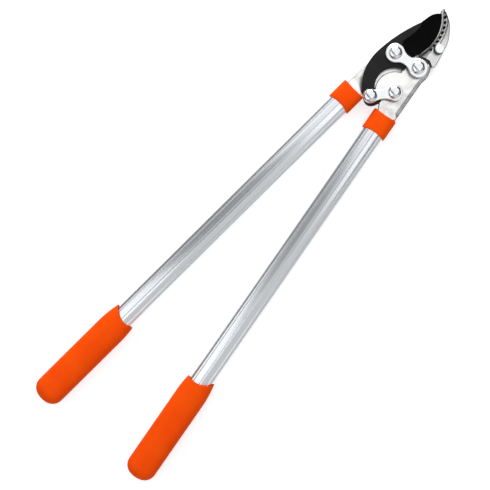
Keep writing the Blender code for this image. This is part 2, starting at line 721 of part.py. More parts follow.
def make_tube(side, frame, aluminium):
    """The extruded aluminium tube, open at both ends, drilled for the tang pins."""
    rings = handle_rings(tube_section(), (TUBE_START, TUBE_END))
    tube = link_mesh(side + "_tube", loft(rings), aluminium, frame)
    bore_rings = handle_rings(tube_section(TUBE_WALL, False), (TUBE_START - 5.0, TUBE_END + 5.0))
    bore = link_mesh(side + "_tube_bore", loft(bore_rings), None, frame)
    add_boolean(tube, hide_cutter(bore))
    drill(tube, [((0.0, -station), PIN_RADIUS + GAP) for station in PIN_STATIONS], -20.0, 20.0, frame)
    return tube


def make_insert(side, frame, black_plastic):
    """The plastic insert that beds the steel tang inside the tube."""
    rings = handle_rings(tube_section(TUBE_WALL + GAP, False), (TUBE_START + 0.5, INSERT_END))
    insert = link_mesh(side + "_tang_insert", loft(rings), black_plastic, frame)
    bottom = LEVER_LAYER[0] - MID_HEIGHT - GAP
    top = LEVER_LAYER[1] - MID_HEIGHT + GAP
    half = TANG_HALF_WIDTH + GAP
    slot = [(-half, bottom), (half, bottom), (half, top), (-half, top)]
    slot_rings = handle_rings(slot, (TUBE_START - 5.0, TANG_END + GAP))
    cutter = link_mesh(side + "_slot_cutter", loft(slot_rings), None, frame)
    add_boolean(insert, hide_cutter(cutter))
    drill(insert, [((0.0, -station), PIN_RADIUS + GAP) for station in PIN_STATIONS], -20.0, 20.0, frame)
    return insert


def make_pins(side, frame, zinc):
    """Two roll pins that lock tang, insert and tube together under the collar."""
    reach = TUBE_HALF[1] - 0.1
    narrow = PIN_RADIUS - 0.3
    profile = ((narrow, -reach), (PIN_RADIUS, 0.3 - reach), (PIN_RADIUS, reach - 0.3), (narrow, reach))
    for place, station in zip(("front", "rear"), PIN_STATIONS):
        turned(f"{side}_{place}_tang_pin", (0.0, -station), profile, zinc, frame, steps=16)


def scallop(name, centre_along, radius, frame):
    """A tall round cutter that hollows the end of a collar in plan."""
    bm = bmesh.new()
    add_turned(bm, (0.0, -centre_along), ((radius, -30.0), (radius, 30.0)), 72)
    return hide_cutter(link_mesh(name, bm, None, frame))


def make_collar(side, frame, orange):
    """The orange ferrule over the tube's head end, hollowed a little at both ends."""
    rings = []
    stations = ((COLLAR_START - 0.2, 1.6), (COLLAR_START + 1.2, 0.4), (COLLAR_START + 3.2, 0.0))
    stations += ((COLLAR_END - 3.0, 0.0), (COLLAR_END - 1.0, 0.1), (COLLAR_END + 0.2, 0.8))
    for along, inset in stations:
        section = superellipse(COLLAR_HALF[0] - inset, COLLAR_HALF[1] - inset, 2.5, 32)
        rings.append([(x, -along, z) for x, z in section])
    collar = link_mesh(side + "_collar", loft(rings), orange, frame)
    front, rear = COLLAR_SCALLOPS
    front_centre = COLLAR_START + 1.3 - front
    rear_centre = COLLAR_END - 1.8 + rear
    add_boolean(collar, scallop(side + "_front_scallop", front_centre, front, frame))
    add_boolean(collar, scallop(side + "_rear_scallop", rear_centre, rear, frame))
    cavity_rings = handle_rings(tube_section(-GAP, False), (TUBE_START - GAP, COLLAR_END + 15.0))
    cavity = link_mesh(side + "_collar_cavity", loft(cavity_rings), None, frame)
    add_boolean(collar, hide_cutter(cavity))
    bottom = LEVER_LAYER[0] - MID_HEIGHT - GAP
    top = LEVER_LAYER[1] - MID_HEIGHT + GAP
    half = TANG_HALF_WIDTH + 0.5
    slot = [(-half, bottom), (half, bottom), (half, top), (-half, top)]
    slot_rings = handle_rings(slot, (COLLAR_START - 15.0, TUBE_START + 2.0))
    cutter = link_mesh(side + "_mouth_cutter", loft(slot_rings), None, frame)
    add_boolean(collar, hide_cutter(cutter))
    return collar


def grip_half(along):
    """Half width and half thickness of a grip at a distance down the handle."""
    share = min(1.0, max(0.0, (along - GRIP_START - 4.0) / GRIP_TAPER))
    swell = math.sin(0.5 * math.pi * share) ** 0.9
    half_x = GRIP_MOUTH_HALF[0] + (GRIP_HALF[0] - GRIP_MOUTH_HALF[0]) * swell
    half_y = GRIP_MOUTH_HALF[1] + (GRIP_HALF[1] - GRIP_MOUTH_HALF[1]) * swell
    close = (along - GRIP_END + GRIP_DOME) / GRIP_DOME
    if close > 0.0:
        shrink = (1.0 - min(1.0, close) ** 2.2) ** (1.0 / 2.2)
        half_x *= shrink
        half_y *= shrink
    return half_x, half_y


def make_grip(side, frame, orange):
    """The moulded grip: tapered shoulder, domed end, flat underside and a scooped mouth."""
    steps = (0.0, 7.0, 13.0, 19.0, 26.0, 34.0, 44.0, 75.0, 110.0, 148.0)
    stations = [GRIP_START + step for step in steps]
    for step in range(1, 9):
        stations.append(GRIP_END - GRIP_DOME + GRIP_DOME * math.sin(math.radians(90.0 * step / 8.3)))
    rings = []
    for along in stations:
        half_x, half_y = grip_half(along)
        section = superellipse(half_x, half_y, 2.4, 32)
        rings.append([(x, -along, max(z, -MID_HEIGHT)) for x, z in section])
    grip = link_mesh(side + "_grip", loft(rings), orange, frame)
    inward = -1.0 if side == "right" else 1.0
    bm = bmesh.new()
    mouth = (inward * GRIP_MOUTH_CENTRE[0], -GRIP_MOUTH_CENTRE[1])
    add_turned(bm, mouth, ((GRIP_MOUTH_RADIUS, -30.0), (GRIP_MOUTH_RADIUS, 30.0)), 60)
    add_boolean(grip, hide_cutter(link_mesh(side + "_mouth_scoop", bm, None, frame)))
    bore_rings = handle_rings(tube_section(-GAP, False), (GRIP_START - 10.0, TUBE_END + GAP))
    bore = link_mesh(side + "_grip_bore", loft(bore_rings), None, frame)
    add_boolean(grip, hide_cutter(bore))
    return grip


def make_handle(side, parent, materials):
    """One handle with its insert, pins, tube, collar and grip."""
    lean = HANDLE_TILT if side == "right" else -HANDLE_TILT
    frame = make_empty(side + "_handle_axis", (AXIS_X[side], 0.0, MID_HEIGHT), parent, lean)
    make_insert(side, frame, materials["black_plastic"])
    make_pins(side, frame, materials["zinc"])
    make_tube(side, frame, materials["aluminium"])
    make_collar(side, frame, materials["orange"])
    make_grip(side, frame, materials["orange"])


def make_materials():
    """The five finishes that show, and the plastic inside the tubes."""
    return {
        "steel": make_material("satin_zinc_steel", (0.62, 0.62, 0.61), 0.32, 0.9),
        "zinc": make_material("bright_zinc", (0.78, 0.79, 0.80), 0.2, 1.0),
        "black_steel": make_material("black_coated_steel", (0.012, 0.012, 0.013), 0.45, 0.2),
        "aluminium": make_material("brushed_aluminium", (0.72, 0.73, 0.75), 0.28, 1.0),
        "orange": make_material("orange_plastic", (0.90, 0.12, 0.006), 0.5, 0.0),
        "black_plastic": make_material("black_plastic", (0.02, 0.02, 0.02), 0.6, 0.0),
    }


def main():
    """Build the whole lopper."""
    clear_scene()
    materials = make_materials()
    blade_axis = make_empty("blade_axis", (*BLADE_PIVOT, 0.0))
    lever_axis = make_empty("lever_axis", (*MAIN_PIVOT, 0.0))
    link_axis = make_empty("link_axis", (*LINK_PIVOT, 0.0), lever_axis)
    make_hook_plate(materials["steel"])
    make_front_strap(materials["zinc"])
    make_blade(blade_axis, materials["black_steel"])
    make_lever_plate(lever_axis, materials["steel"])
    make_drive_link(link_axis, materials["zinc"])
    make_fixed_fasteners(materials["zinc"])
    make_link_fasteners(lever_axis, link_axis, materials["zinc"])
    make_handle("left", None, materials)
    make_handle("right", lever_axis, materials)
    bpy.context.view_layer.update()


main()
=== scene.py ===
"""Finished look of a compound action lopper, laid out as an add-on and run as a script.

Lengths are in metres in the frame of the solid model: the main pivot is the origin, +Y points
to the jaws, +Z is up. A handle point is given across, along and above that handle's axis.
"""
from math import atan2, cos, pi, radians, sin, sqrt

import bmesh
import bpy
import numpy as np
from bpy.props import FloatProperty, FloatVectorProperty, PointerProperty
from bpy.types import Operator, Panel, PropertyGroup
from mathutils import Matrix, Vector
from mathutils.geometry import delaunay_2d_cdt


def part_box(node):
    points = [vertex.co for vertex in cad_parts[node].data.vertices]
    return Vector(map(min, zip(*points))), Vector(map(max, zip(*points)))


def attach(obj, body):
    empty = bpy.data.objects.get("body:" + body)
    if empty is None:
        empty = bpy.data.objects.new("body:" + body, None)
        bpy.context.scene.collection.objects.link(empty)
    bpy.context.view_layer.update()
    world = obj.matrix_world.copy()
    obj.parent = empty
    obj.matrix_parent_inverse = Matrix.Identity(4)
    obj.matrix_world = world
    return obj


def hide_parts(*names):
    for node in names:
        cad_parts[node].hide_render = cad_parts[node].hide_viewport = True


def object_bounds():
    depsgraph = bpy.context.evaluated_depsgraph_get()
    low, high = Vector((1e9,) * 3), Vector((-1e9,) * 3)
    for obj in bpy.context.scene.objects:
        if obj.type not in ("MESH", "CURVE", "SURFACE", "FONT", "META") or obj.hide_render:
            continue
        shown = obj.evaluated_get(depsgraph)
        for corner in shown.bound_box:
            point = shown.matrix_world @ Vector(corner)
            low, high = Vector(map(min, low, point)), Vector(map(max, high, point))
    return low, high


bl_info = {
    "name": "Lopper Finish",
    "version": (1, 0, 0),
    "blender": (4, 5, 0),
    "location": "3D View > Sidebar > Lopper",
    "description": "Builds the finished surfaces, materials and studio of a compound action lopper",
    "category": "Add Mesh",
}

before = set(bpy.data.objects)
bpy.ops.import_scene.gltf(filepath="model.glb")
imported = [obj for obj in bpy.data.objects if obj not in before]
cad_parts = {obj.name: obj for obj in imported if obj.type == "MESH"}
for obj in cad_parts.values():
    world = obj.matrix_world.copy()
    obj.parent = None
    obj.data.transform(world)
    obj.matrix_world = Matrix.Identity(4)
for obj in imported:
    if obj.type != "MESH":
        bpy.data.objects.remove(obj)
CAD_BOX = [list(corner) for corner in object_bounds()]
MM = 0.001
SLIP = 0.3 * MM  # room between a tube and the parts that slide over it
SIDES = {"left": "hook_handle", "right": "lever_handle"}
PIVOTS = {"blade_pivot": "hook_handle", "main_pivot": "hook_handle", "link": "lever_handle"}
join = np.concatenate


def node_centre(node):
    """Middle of a node's box in plan, which is its axis where the node is round."""
    low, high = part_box(node)
    return np.array((0.5 * (low.x + high.x), 0.5 * (low.y + high.y)))


def node_height(node):
    """Lowest and highest height of a node."""
    low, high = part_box(node)
    return low.z, high.z


def length_of(name, description, millimetres):
    """A length that the user may change, given in millimetres."""
    return FloatProperty(name=name, description=description, default=millimetres * MM, unit="LENGTH")


def angle_of(name, description, degrees):
    """An angle that the user may change, given in degrees."""
    return FloatProperty(name=name, description=description, default=radians(degrees), subtype="ANGLE")


def colour_of(name, description, colour):
    """A linear colour that the user may change."""
    return FloatVectorProperty(
        name=name, description=description, default=colour, subtype="COLOR", size=3, min=0.0, max=1.0
    )


def share_of(name, description, value):
    """A value from nothing to one that the user may change."""
    return FloatProperty(name=name, description=description, default=value, min=0.0, max=1.0)


def glow_of(name, lamp, value):
    """A lamp's brightness that the user may change."""
    return FloatProperty(name=name, description="Brightness of the " + lamp, default=value, min=0.0)


class HandleSizes(PropertyGroup):
    """Sizes of the two handles, measured down each axis from the line through the main pivot."""

    tilt: angle_of("Tilt", "Angle between a handle and the tool's middle line", 5.27)
    left_axis: length_of("Left Axis", "Where the left axis meets the pivot line", -41.3)
    right_axis: length_of("Right Axis", "Where the right axis meets the pivot line", 0.3)
    middle: length_of("Middle Height", "Height of the handle axes over the floor", 14.0)
    tube_width: length_of("Tube Half Width", "Half of the oval tube's width", 15.9)
    tube_depth: length_of("Tube Half Depth", "Half of the oval tube's thickness", 9.9)
    tube_wall: length_of("Tube Wall", "Wall of the tube", 1.5)
    tube_start: length_of("Tube Start", "Head end of the tube", 84.0)
    tube_end: length_of("Tube End", "Grip end of the tube", 640.0)
    groove_pitch: length_of("Groove Pitch", "Distance between the extruded grooves", 9.5)
    groove_depth: length_of("Groove Depth", "Depth of an extruded groove", 0.55)
    groove_width: length_of("Groove Half Width", "Half of a groove's width", 0.85)
    collar_start: length_of("Collar Start", "Head end of the collar at its sides", 76.2)
    collar_end: length_of("Collar End", "Rear end of the collar at its sides", 106.4)
    collar_width: length_of("Collar Half Width", "Half of the collar's width", 17.5)
    collar_depth: length_of("Collar Half Depth", "Half of the collar's thickness", 11.6)
    grip_end: length_of("Grip End", "End of the grip's dome", 670.95)
    grip_width: length_of("Grip Half Width", "Half of the grip's width", 20.95)
    grip_depth: length_of("Grip Half Depth", "Half of the grip's thickness", 14.5)
    mouth_width: length_of("Mouth Half Width", "Half of the grip's width at its mouth", 17.2)
    mouth_depth: length_of("Mouth Half Depth", "Half of the grip's thickness at its mouth", 12.2)


class HeadSizes(PropertyGroup):
    """Sizes of the linkage and the two jaws."""

    head_radius: length_of("Bolt Head Radius", "Radius of a domed bolt head", 9.2)
    strap_lobe: length_of("Strap Lobe", "Radius of the strap's two ends", 13.1)
    strap_waist: length_of("Strap Waist", "Half of the strap's narrowest width", 6.7)
    link_lobe: length_of("Link Lobe", "Radius of the link's end on the lever", 11.4)
    tail_lobe: length_of("Tail Lobe", "Radius of the link's end on the blade", 9.8)
    link_waist: length_of("Link Waist", "Half of the link's narrowest width", 6.5)
    rim: length_of("Plate Rim", "Rounding of the strap's and link's upper rims", 1.1)
    stud_radius: length_of("Stud Radius", "Radius of the stud on the hook", 6.1)
    bolt_bore: length_of("Bolt Hole", "Radius of the hole that a bolt turns in", 4.3)
    lever_head: length_of("Lever Head", "Radius of the lever round the main pivot", 17.3)
    lever_disc: length_of("Lever Disc", "Radius of the lever's broad disc", 27.1)
    shoulder: length_of("Hook Shoulder", "Radius of the shoulder that clears the lever", 19.9)
    plate_rim: length_of("Frame Rim", "Rounding of the hook's frame rim", 0.5)
    lever_rim: length_of("Lever Rim", "Rounding of the lever's rim", 0.9)
    lever_trim: length_of("Lever Trim", "How far the bevelled side stands in from its line", 1.7)
    side_bevel: length_of("Side Bevel", "Width of the bevel on the lever's side", 5.4)
    band_drop: length_of("Band Drop", "Fall of the serrated band towards its edge", 3.4)
    gullet_depth: length_of("Gullet Depth", "Depth of a gullet between two teeth", 2.4)
    gullet_pitch: length_of("Gullet Pitch", "Distance between gullets along the edge", 6.45)
    honed_width: length_of("Honed Width", "Width of the bare strip along the blade's edge", 0.8)


class FinishColours(PropertyGroup):
    """Linear colours and gloss of the finishes."""

    orange: colour_of("Orange", "Moulded orange plastic", (1.0, 0.075, 0.001))
    orange_gloss: share_of("Orange Roughness", "Roughness of the orange plastic", 0.42)
    aluminium: colour_of("Aluminium", "Bright extruded tube", (0.80, 0.82, 0.85))
    aluminium_gloss: share_of("Aluminium Roughness", "Roughness of the tubes", 0.17)
    zinc: colour_of("Zinc", "Bright plated strap, link and hardware", (0.86, 0.87, 0.88))
    zinc_gloss: share_of("Zinc Roughness", "Roughness of the plating", 0.16)
    bolt: colour_of("Bolts", "Polished bolt heads", (0.80, 0.82, 0.84))
    # The sheared edge is really duller, but its dark colour is mostly painted shade on the plates' sides and
    # rims.
    edge: colour_of("Sheared Edge", "Punched edges of the plates", (0.17, 0.20, 0.205))
    steel: colour_of("Steel", "Satin plated frame plates", (0.96, 0.95, 0.935))
    steel_gloss: share_of("Steel Roughness", "Roughness of the plates", 0.28)
    black: colour_of("Black Coating", "Low friction coating of the blade", (0.007, 0.007, 0.0075))
    black_gloss: share_of("Coating Roughness", "Roughness of the coating", 0.42)
    honed: colour_of("Honed Steel", "Bare steel of a sharpened edge", (0.72, 0.73, 0.74))
    plastic: colour_of("Black Plastic", "Bedding inside the tubes", (0.02, 0.02, 0.02))
    # Painted shade: the stud's skirt is coloured near black to stand in for the shade round the stud.
    buffer: colour_of("Buffer", "Dark sleeve under the stud's cap", (0.035, 0.048, 0.05))


class StudioSettings(PropertyGroup):
    """Camera, lamps and floor."""

    camera_place: FloatVectorProperty(
        name="Camera Place", description="Camera position, looking straight down",
        default=(-0.0255, -0.3322, 1.4), subtype="TRANSLATION", size=3,
    )
    camera_turn: angle_of("Camera Turn", "Turn of the picture about the line of sight", 40.0)
    lens: FloatProperty(name="Lens", description="Focal length in millimetres", default=75.21)
    end_glow: glow_of("Head Lamp", "lamp over the head's end", 0.84)
    grip_glow: glow_of("Grip Lamp", "lamp over the grips' end", 1.03)
    low_glow: glow_of("Low Lamp", "low lamp beyond the head", 5.0)
    back_glow: glow_of("Back Lamp", "low lamp behind the grips", 0.3)
    wing_glow: glow_of("Wing", "ceiling's right half", 0.38)
    wall_glow: glow_of("Wall", "right wall", 0.6)
    card_glow: glow_of("Card", "dim card on the left", 0.26)
    fill_glow: glow_of("Ceiling", "studio's ceiling", 0.27)
    sky: colour_of("Surroundings", "Light from the studio's walls", (0.03, 0.032, 0.035))
    floor: colour_of("Floor", "Plain pale floor", (0.66, 0.66, 0.66))
    backdrop: colour_of("Backdrop", "Surroundings where the camera looks past the floor", (0.95, 0.95, 0.95))
    floor_lift: share_of("Floor Lift", "Added whiteness where the floor is seen", 0.62)


def feed(tree, node, **values):
    """Give a node's inputs numbers, vectors, colours or other nodes' outputs."""
    for key, value in values.items():
        socket = node.inputs[key.replace("_", " ")]
        if isinstance(value, bpy.types.NodeSocket):
            tree.links.new(value, socket)
        elif isinstance(value, float):
            socket.default_value = value
        else:
            socket.default_value = (*value, 1.0)[: len(socket.default_value)]


def new_finish(name, colour, **values):
    """A Principled material with its constants set on the shader itself."""
    material = bpy.data.materials.new(name)
    material.use_nodes = True
    material.diffuse_color = (*colour, 1.0)
    tree = material.node_tree
    shader = tree.nodes["Principled BSDF"]
    feed(tree, shader, Base_Color=colour, **values)
    return material, tree, shader


def grain(tree, scale, detail=3.0, stretch=(1.0, 1.0, 1.0), turn=0.0, rough=0.55):
    """Noise in object coordinates, drawn out and turned about the vertical where asked."""
    laid = tree.nodes.new("ShaderNodeMapping")
    laid.vector_type = "TEXTURE"
    place = tree.nodes.new("ShaderNodeTexCoord").outputs["Object"]
    feed(tree, laid, Vector=place, Rotation=(0.0, 0.0, turn), Scale=stretch)
    noise = tree.nodes.new("ShaderNodeTexNoise")
    feed(tree, noise, Vector=laid.outputs["Vector"], Scale=scale, Detail=detail, Roughness=rough)
    return noise.outputs["Fac"]


def span(tree, value, low, high, start=0.3, end=0.7):
    """A value from a noise spread over a new range."""
    node = tree.nodes.new("ShaderNodeMapRange")
    feed(tree, node, Value=value, From_Min=start, From_Max=end, To_Min=low, To_Max=high)
    return node.outputs["Result"]


def maths(tree, operation, first, second):
    """The result of an operation on two nodes' outputs."""
    node = tree.nodes.new("ShaderNodeMath")
    node.operation = operation
    tree.links.new(first, node.inputs[0])
    tree.links.new(second, node.inputs[1])
    return node.outputs["Value"]


def blend_colours(tree, share, first, second):
    """A colour between two, either of which may be a colour or another node's output."""
    node = tree.nodes.new("ShaderNodeMix")
    node.data_type = "RGBA"
    feed(tree, node, Factor=share, A=first, B=second)
    return node.outputs["Result"]


def shade(colour, factor):
    """A colour made darker or lighter, by one factor or by one for each channel."""
    return tuple(np.minimum(1.0, np.array(colour) * factor))


def make_finish(name, colour, metallic, shades, cloud, gloss, marks, relief, depth, strength,
                specular=0.5, patch=(0.3, 0.7)):
    """A colour that wavers between two shades of itself with a first noise, a roughness that wavers
    under and over its middle with a second, and bump of a real depth with a third."""
    middle, under, over = gloss
    material, tree, shader = new_finish(
        name, colour, Metallic=metallic, Roughness=middle, Specular_IOR_Level=specular
    )
    dark, light = (shade(colour, factor) for factor in shades)
    share = span(tree, grain(tree, *cloud), 0.0, 1.0, *patch)
    feed(tree, shader, Base_Color=blend_colours(tree, share, dark, light))
    if marks:
        feed(tree, shader, Roughness=span(tree, grain(tree, *marks), middle - under, middle + over))
    bump = tree.nodes.new("ShaderNodeBump")
    feed(tree, bump, Strength=strength, Distance=depth, Height=grain(tree, *relief))
    feed(tree, shader, Normal=bump.outputs["Normal"])
    return material


def grey_towards_bevel(tree):
    """A share that climbs towards the lever's bevelled side and its tang, ragged with noise."""
    across = tree.nodes.new("ShaderNodeVectorMath")
    across.operation = "DOT_PRODUCT"
    across.inputs[1].default_value = (0.966, -0.258, 0.0)
    place = tree.nodes.new("ShaderNodeTexCoord").outputs["Object"]
    tree.links.new(place, across.inputs[0])
    climb = span(tree, across.outputs["Value"], 0.0, 1.0, 0.006, 0.019)
    return maths(tree, "MULTIPLY", climb, span(tree, grain(tree, 110.0, 4.0, rough=0.6), 0.0, 1.0, 0.38, 0.6))


def steel_finish(name, colours):
    """Satin plated sheet: soft grey patches, mottled crystals, a fine tooth and painted shade, near black
    where the painted_shade attribute is high.
    The lever's is grey in patches that grow towards its bevelled side."""
    patches = (45.0, 5.0, (1.0, 1.0, 1.0), 0.0, 0.65)
    material = make_finish(
        name, colours.steel, 0.85, (0.95, 1.0), patches, (colours.steel_gloss, 0.08, 0.1),
        (90.0, 4.0), (520.0,), 0.00002, 0.4,
    )
    tree = material.node_tree
    shader = tree.nodes["Principled BSDF"]
    plain = shader.inputs["Base Color"].links[0].from_socket
    crystals = span(tree, grain(tree, 380.0, 2.0), 0.0, 0.35)
    base = blend_colours(tree, crystals, plain, shade(colours.steel, 1.06))
    if name == "mottled_plate":
        base = blend_colours(tree, grey_towards_bevel(tree), base, shade(colours.steel, 0.7))
    # Painted shade: the colour goes nearly black where the painted_shade attribute is high, standing in for
    # shade in hollows, grooves, slopes and walls.
    painted_shade = tree.nodes.new("ShaderNodeAttribute")
    painted_shade.attribute_name = "painted_shade"
    feed(tree, shader, Base_Color=blend_colours(tree, painted_shade.outputs["Fac"], base, (0.012, 0.012, 0.013)))
    return material


def finish(name):
    """The material of a finish, made once. A noise is its scale, detail, stretch and turn."""
    made = bpy.data.materials.get(name)
    if made:
        return made
    colours = bpy.context.scene.lopper_colours
    if name.endswith("_plate"):
        return steel_finish(name, colours)
    tilt = bpy.context.scene.lopper_handles.tilt * (1.0 if name.endswith("right") else -1.0)
    drawn = (900.0, 3.0, (1.0, 400.0, 1.0), tilt)
    sheared = (1100.0, 3.0, (1.0, 1.0, 12.0))
    ground = (900.0, 3.0, (60.0, 1.0, 1.0), radians(-20.0))
    stoned = (1400.0, 3.0, (40.0, 1.0, 1.0), radians(-10.0))
    # bright extrusion with fine drawing lines that run down the tube
    aluminium = (
        colours.aluminium, 1.0, (0.93, 1.0), (70.0, 3.0, (1.0, 30.0, 1.0), tilt),
        (colours.aluminium_gloss, 0.06, 0.08), drawn, drawn, 0.00002, 0.35,
    )
    # plain dark plastic with a fine grain
    plastic = (0.0, (1.0, 1.6), (300.0,), (0.55, 0.0, 0.0), (), (2200.0, 2.0), 0.00004, 0.4)
    return make_finish(name, *{
        "drawn_aluminium_left": aluminium,
        "drawn_aluminium_right": aluminium,
        "black_nylon": (colours.plastic, *plastic),
        # the stud's skirt: plain dark plastic as painted shade round the stud
        "stud_skirt_shade": (colours.buffer, *plastic),
        # moulded plastic with a fine spark-eroded grain and dull handling marks
        "moulded_orange": (
            colours.orange, 0.0, (0.95, (1.05, 1.25, 1.6)), (28.0,), (colours.orange_gloss, 0.05, 0.08),
            (160.0,), (2600.0, 2.0), 0.00006, 0.5, 0.04,
        ),
        # bright plating with a faint cloudiness and tumbled micro marks
        "bright_zinc": (
            colours.zinc, 1.0, (0.9, 1.0), (120.0, 4.0), (colours.zinc_gloss, 0.04, 0.08),
            (420.0,), (700.0,), 0.00001, 0.3,
        ),
        # polished plating of the bolt heads
        "polished_bolt": (
            colours.bolt, 1.0, (0.9, 1.0), (160.0, 4.0), (0.11, 0.03, 0.06),
            (500.0,), (900.0, 2.0), 0.00001, 0.4,
        ),
        # sheared edges of punched plate: dull and streaked down the thickness, their dark colour mostly
        # painted shade on the plates' sides and rims
        "dull_edge_painted_shade": (
            colours.edge, 0.9, (0.7, 1.0), sheared, (0.45, 0.07, 0.1), sheared, sheared, 0.00004, 0.5,
        ),
        # baked coating: deep black with a faint pebble and rubbed patches
        "black_coating": (
            colours.black, 0.0, (1.0, 1.9), (60.0, 4.0), (colours.black_gloss, 0.06, 0.1),
            (140.0,), (1500.0, 2.0), 0.00003, 0.4, 0.2, (0.45, 0.75),
        ),
        # the coated ground face: a deeper black, less glossy copy of the coating as painted shade, with faint
        # grinding lines square to the edge
        "ground_face_painted_shade": (
            colours.black, 0.0, (0.2, 0.5), ground, (0.5, 0.08, 0.1), ground, ground, 0.00002, 0.4, 0.03,
        ),
        # bare sharpened steel with stone marks across the edge
        "honed_edge": (
            colours.honed, 1.0, (0.8, 1.0), stoned, (0.3, 0.04, 0.12), stoned, stoned, 0.00002, 0.5,
        ),
    }[name])


def full_turn(count):
    """Angles all the way round, with the last one left out."""
    return np.linspace(0, 2 * pi, count, endpoint=False)


def quarter(count):
    """Angles over a quarter turn."""
    return np.linspace(0, 0.5 * pi, count)


def ramp(value, start, end):
    """How far lengths have come from a start to an end in millimetres, held between nothing and one."""
    return np.clip((value - start * MM) / ((end - start) * MM), 0, 1)


def smooth(share):
    """A share eased at both ends by a cubic."""
    return share * share * (3 - 2 * share)


def sheet_of(grid, close_rows=False, close_columns=False):
    """Points and quads of a grid of points, numbered row by row."""
    rows, columns = grid.shape[:2]
    row, column = np.meshgrid(
        np.arange(rows - (not close_rows)), np.arange(columns - (not close_columns)), indexing="ij"
    )
    here, below = row * columns, (row + 1) % rows * columns
    beside = (column + 1) % columns
    corners = (here + column, here + beside, below + beside, below + column)
    return grid.reshape(-1, 3), np.stack([corner.ravel() for corner in corners], axis=1)


def level(plan, height):
    """Plan points given one height, or a height each."""
    return join((plan, np.broadcast_to(height, plan.shape[:1])[:, None]), axis=1)


def wall(plan, bottom, top, closed=False):
    """An upright sheet over a plan line."""
    return sheet_of(np.stack((level(plan, bottom), level(plan, top))), close_columns=closed)


def mesh_of(name, sheets, crease=32.0, numbers=None, painted_shade=None):
    """One closed mesh from sheets of points and faces that share their borders, which are merged.

    Numbers gives each sheet's finish. Painted shade is a value for each point, one where the finish is
    painted darkest to stand in for shade.
    """
    points = join([own for own, faces in sheets])
    starts = np.cumsum([0] + [len(own) for own, faces in sheets])
    corners = [row for (own, faces), start in zip(sheets, starts) for row in (faces + start).tolist()]
    mesh = bpy.data.meshes.new(name)
    mesh.from_pydata(points.tolist(), [], corners)
    if numbers is not None:
        finishes = [np.full(len(faces), number) for (own, faces), number in zip(sheets, numbers)]
        mesh.polygons.foreach_set("material_index", join(finishes))
    if painted_shade is not None:
        layer = mesh.attributes.new("painted_shade", "FLOAT", "POINT")
        layer.data.foreach_set("value", painted_shade)
    bm = bmesh.new()
    bm.from_mesh(mesh)
    bmesh.ops.remove_doubles(bm, verts=bm.verts, dist=0.000001)
    bmesh.ops.delete(bm, geom=[point for point in bm.verts if not point.link_faces], context="VERTS")
    bmesh.ops.recalc_face_normals(bm, faces=bm.faces)
    bm.to_mesh(mesh)
    bm.free()
    mesh.shade_smooth()
    mesh.set_sharp_from_angle(angle=radians(crease))
    return mesh


def surface(name, grid, close_rows=False, crease=32.0):
    """A mesh over a grid of points, closed along its columns. Rows that shrink to a point are merged."""
    return mesh_of(name, [sheet_of(grid, close_rows, True)], crease)


def curve(points, steps=12):
    """A Catmull-Rom curve through a few points given in millimetres, all spans worked out at once."""
    knots = np.array(points, float) * MM
    knots = join(([2 * knots[0] - knots[1]], knots, [2 * knots[-1] - knots[-2]]))
    before, start, end, after = knots[:-3, None], knots[1:-2, None], knots[2:-1, None], knots[3:, None]
    share = np.linspace(0, 1, steps, endpoint=False)[None, :, None]
    bend = 3 * (start - end) + after - before
    bend = end - before + share * (2 * before - 5 * start + 4 * end - after + share * bend)
    return join(((start + 0.5 * share * bend).reshape(-1, 2), knots[-2:-1]))


def picked(wanted, known, points):
    """Plan points where a measure that is known along a polyline has the values wanted."""
    return np.stack([np.interp(wanted, known, points[:, axis]) for axis in (0, 1)], axis=1)


def even(points, count):
    """Points at equal steps of length along a polyline."""
    length = join(([0], np.cumsum(np.linalg.norm(np.diff(points, axis=0), axis=1))))
    return picked(np.linspace(0, length[-1], count), length, points)


def arc_points(centre, radius, start, end, steps):
    """Points on a circle between two angles."""
    angle = np.linspace(start, end, steps)
    return np.stack((centre[0] + radius * np.cos(angle), centre[1] + radius * np.sin(angle)), axis=1)


def outward(points):
    """Outward normals of a closed plan outline that runs anticlockwise."""
    tangent = np.roll(points, -1, axis=0) - np.roll(points, 1, axis=0)
    tangent /= np.linalg.norm(tangent, axis=1)[:, None]
    return np.stack((tangent[:, 1], -tangent[:, 0]), axis=1)


def filled(loops, height, holes=(), inside=None):
    """A face inside closed plan loops, open at round holes: a triangulation that keeps their edges."""
    edges = []
    for loop, end in zip(loops, np.cumsum([len(loop) for loop in loops])):
        number = np.arange(end - len(loop), end)
        edges += np.stack((number, np.roll(number, -1)), axis=1).tolist()
    points = join(list(loops) + ([] if inside is None else [inside]))
    plan, _, faces = delaunay_2d_cdt(points.tolist(), edges, [], 1, 0.0000001)[:3]
    plan, faces = np.array(plan), np.array(faces)
    for centre, radius in holes:
        middle = plan[faces].mean(axis=1)
        faces = faces[np.linalg.norm(middle - centre, axis=1) > radius]
    return level(plan, height), faces


def bored(holes, bottom, top):
    """The circles of round holes in plan, and their walls."""
    circles = [arc_points(centre, radius, 0, 2 * pi, 49)[:-1] for centre, radius in holes]
    return circles, [wall(circle, bottom, top, True) for circle in circles]


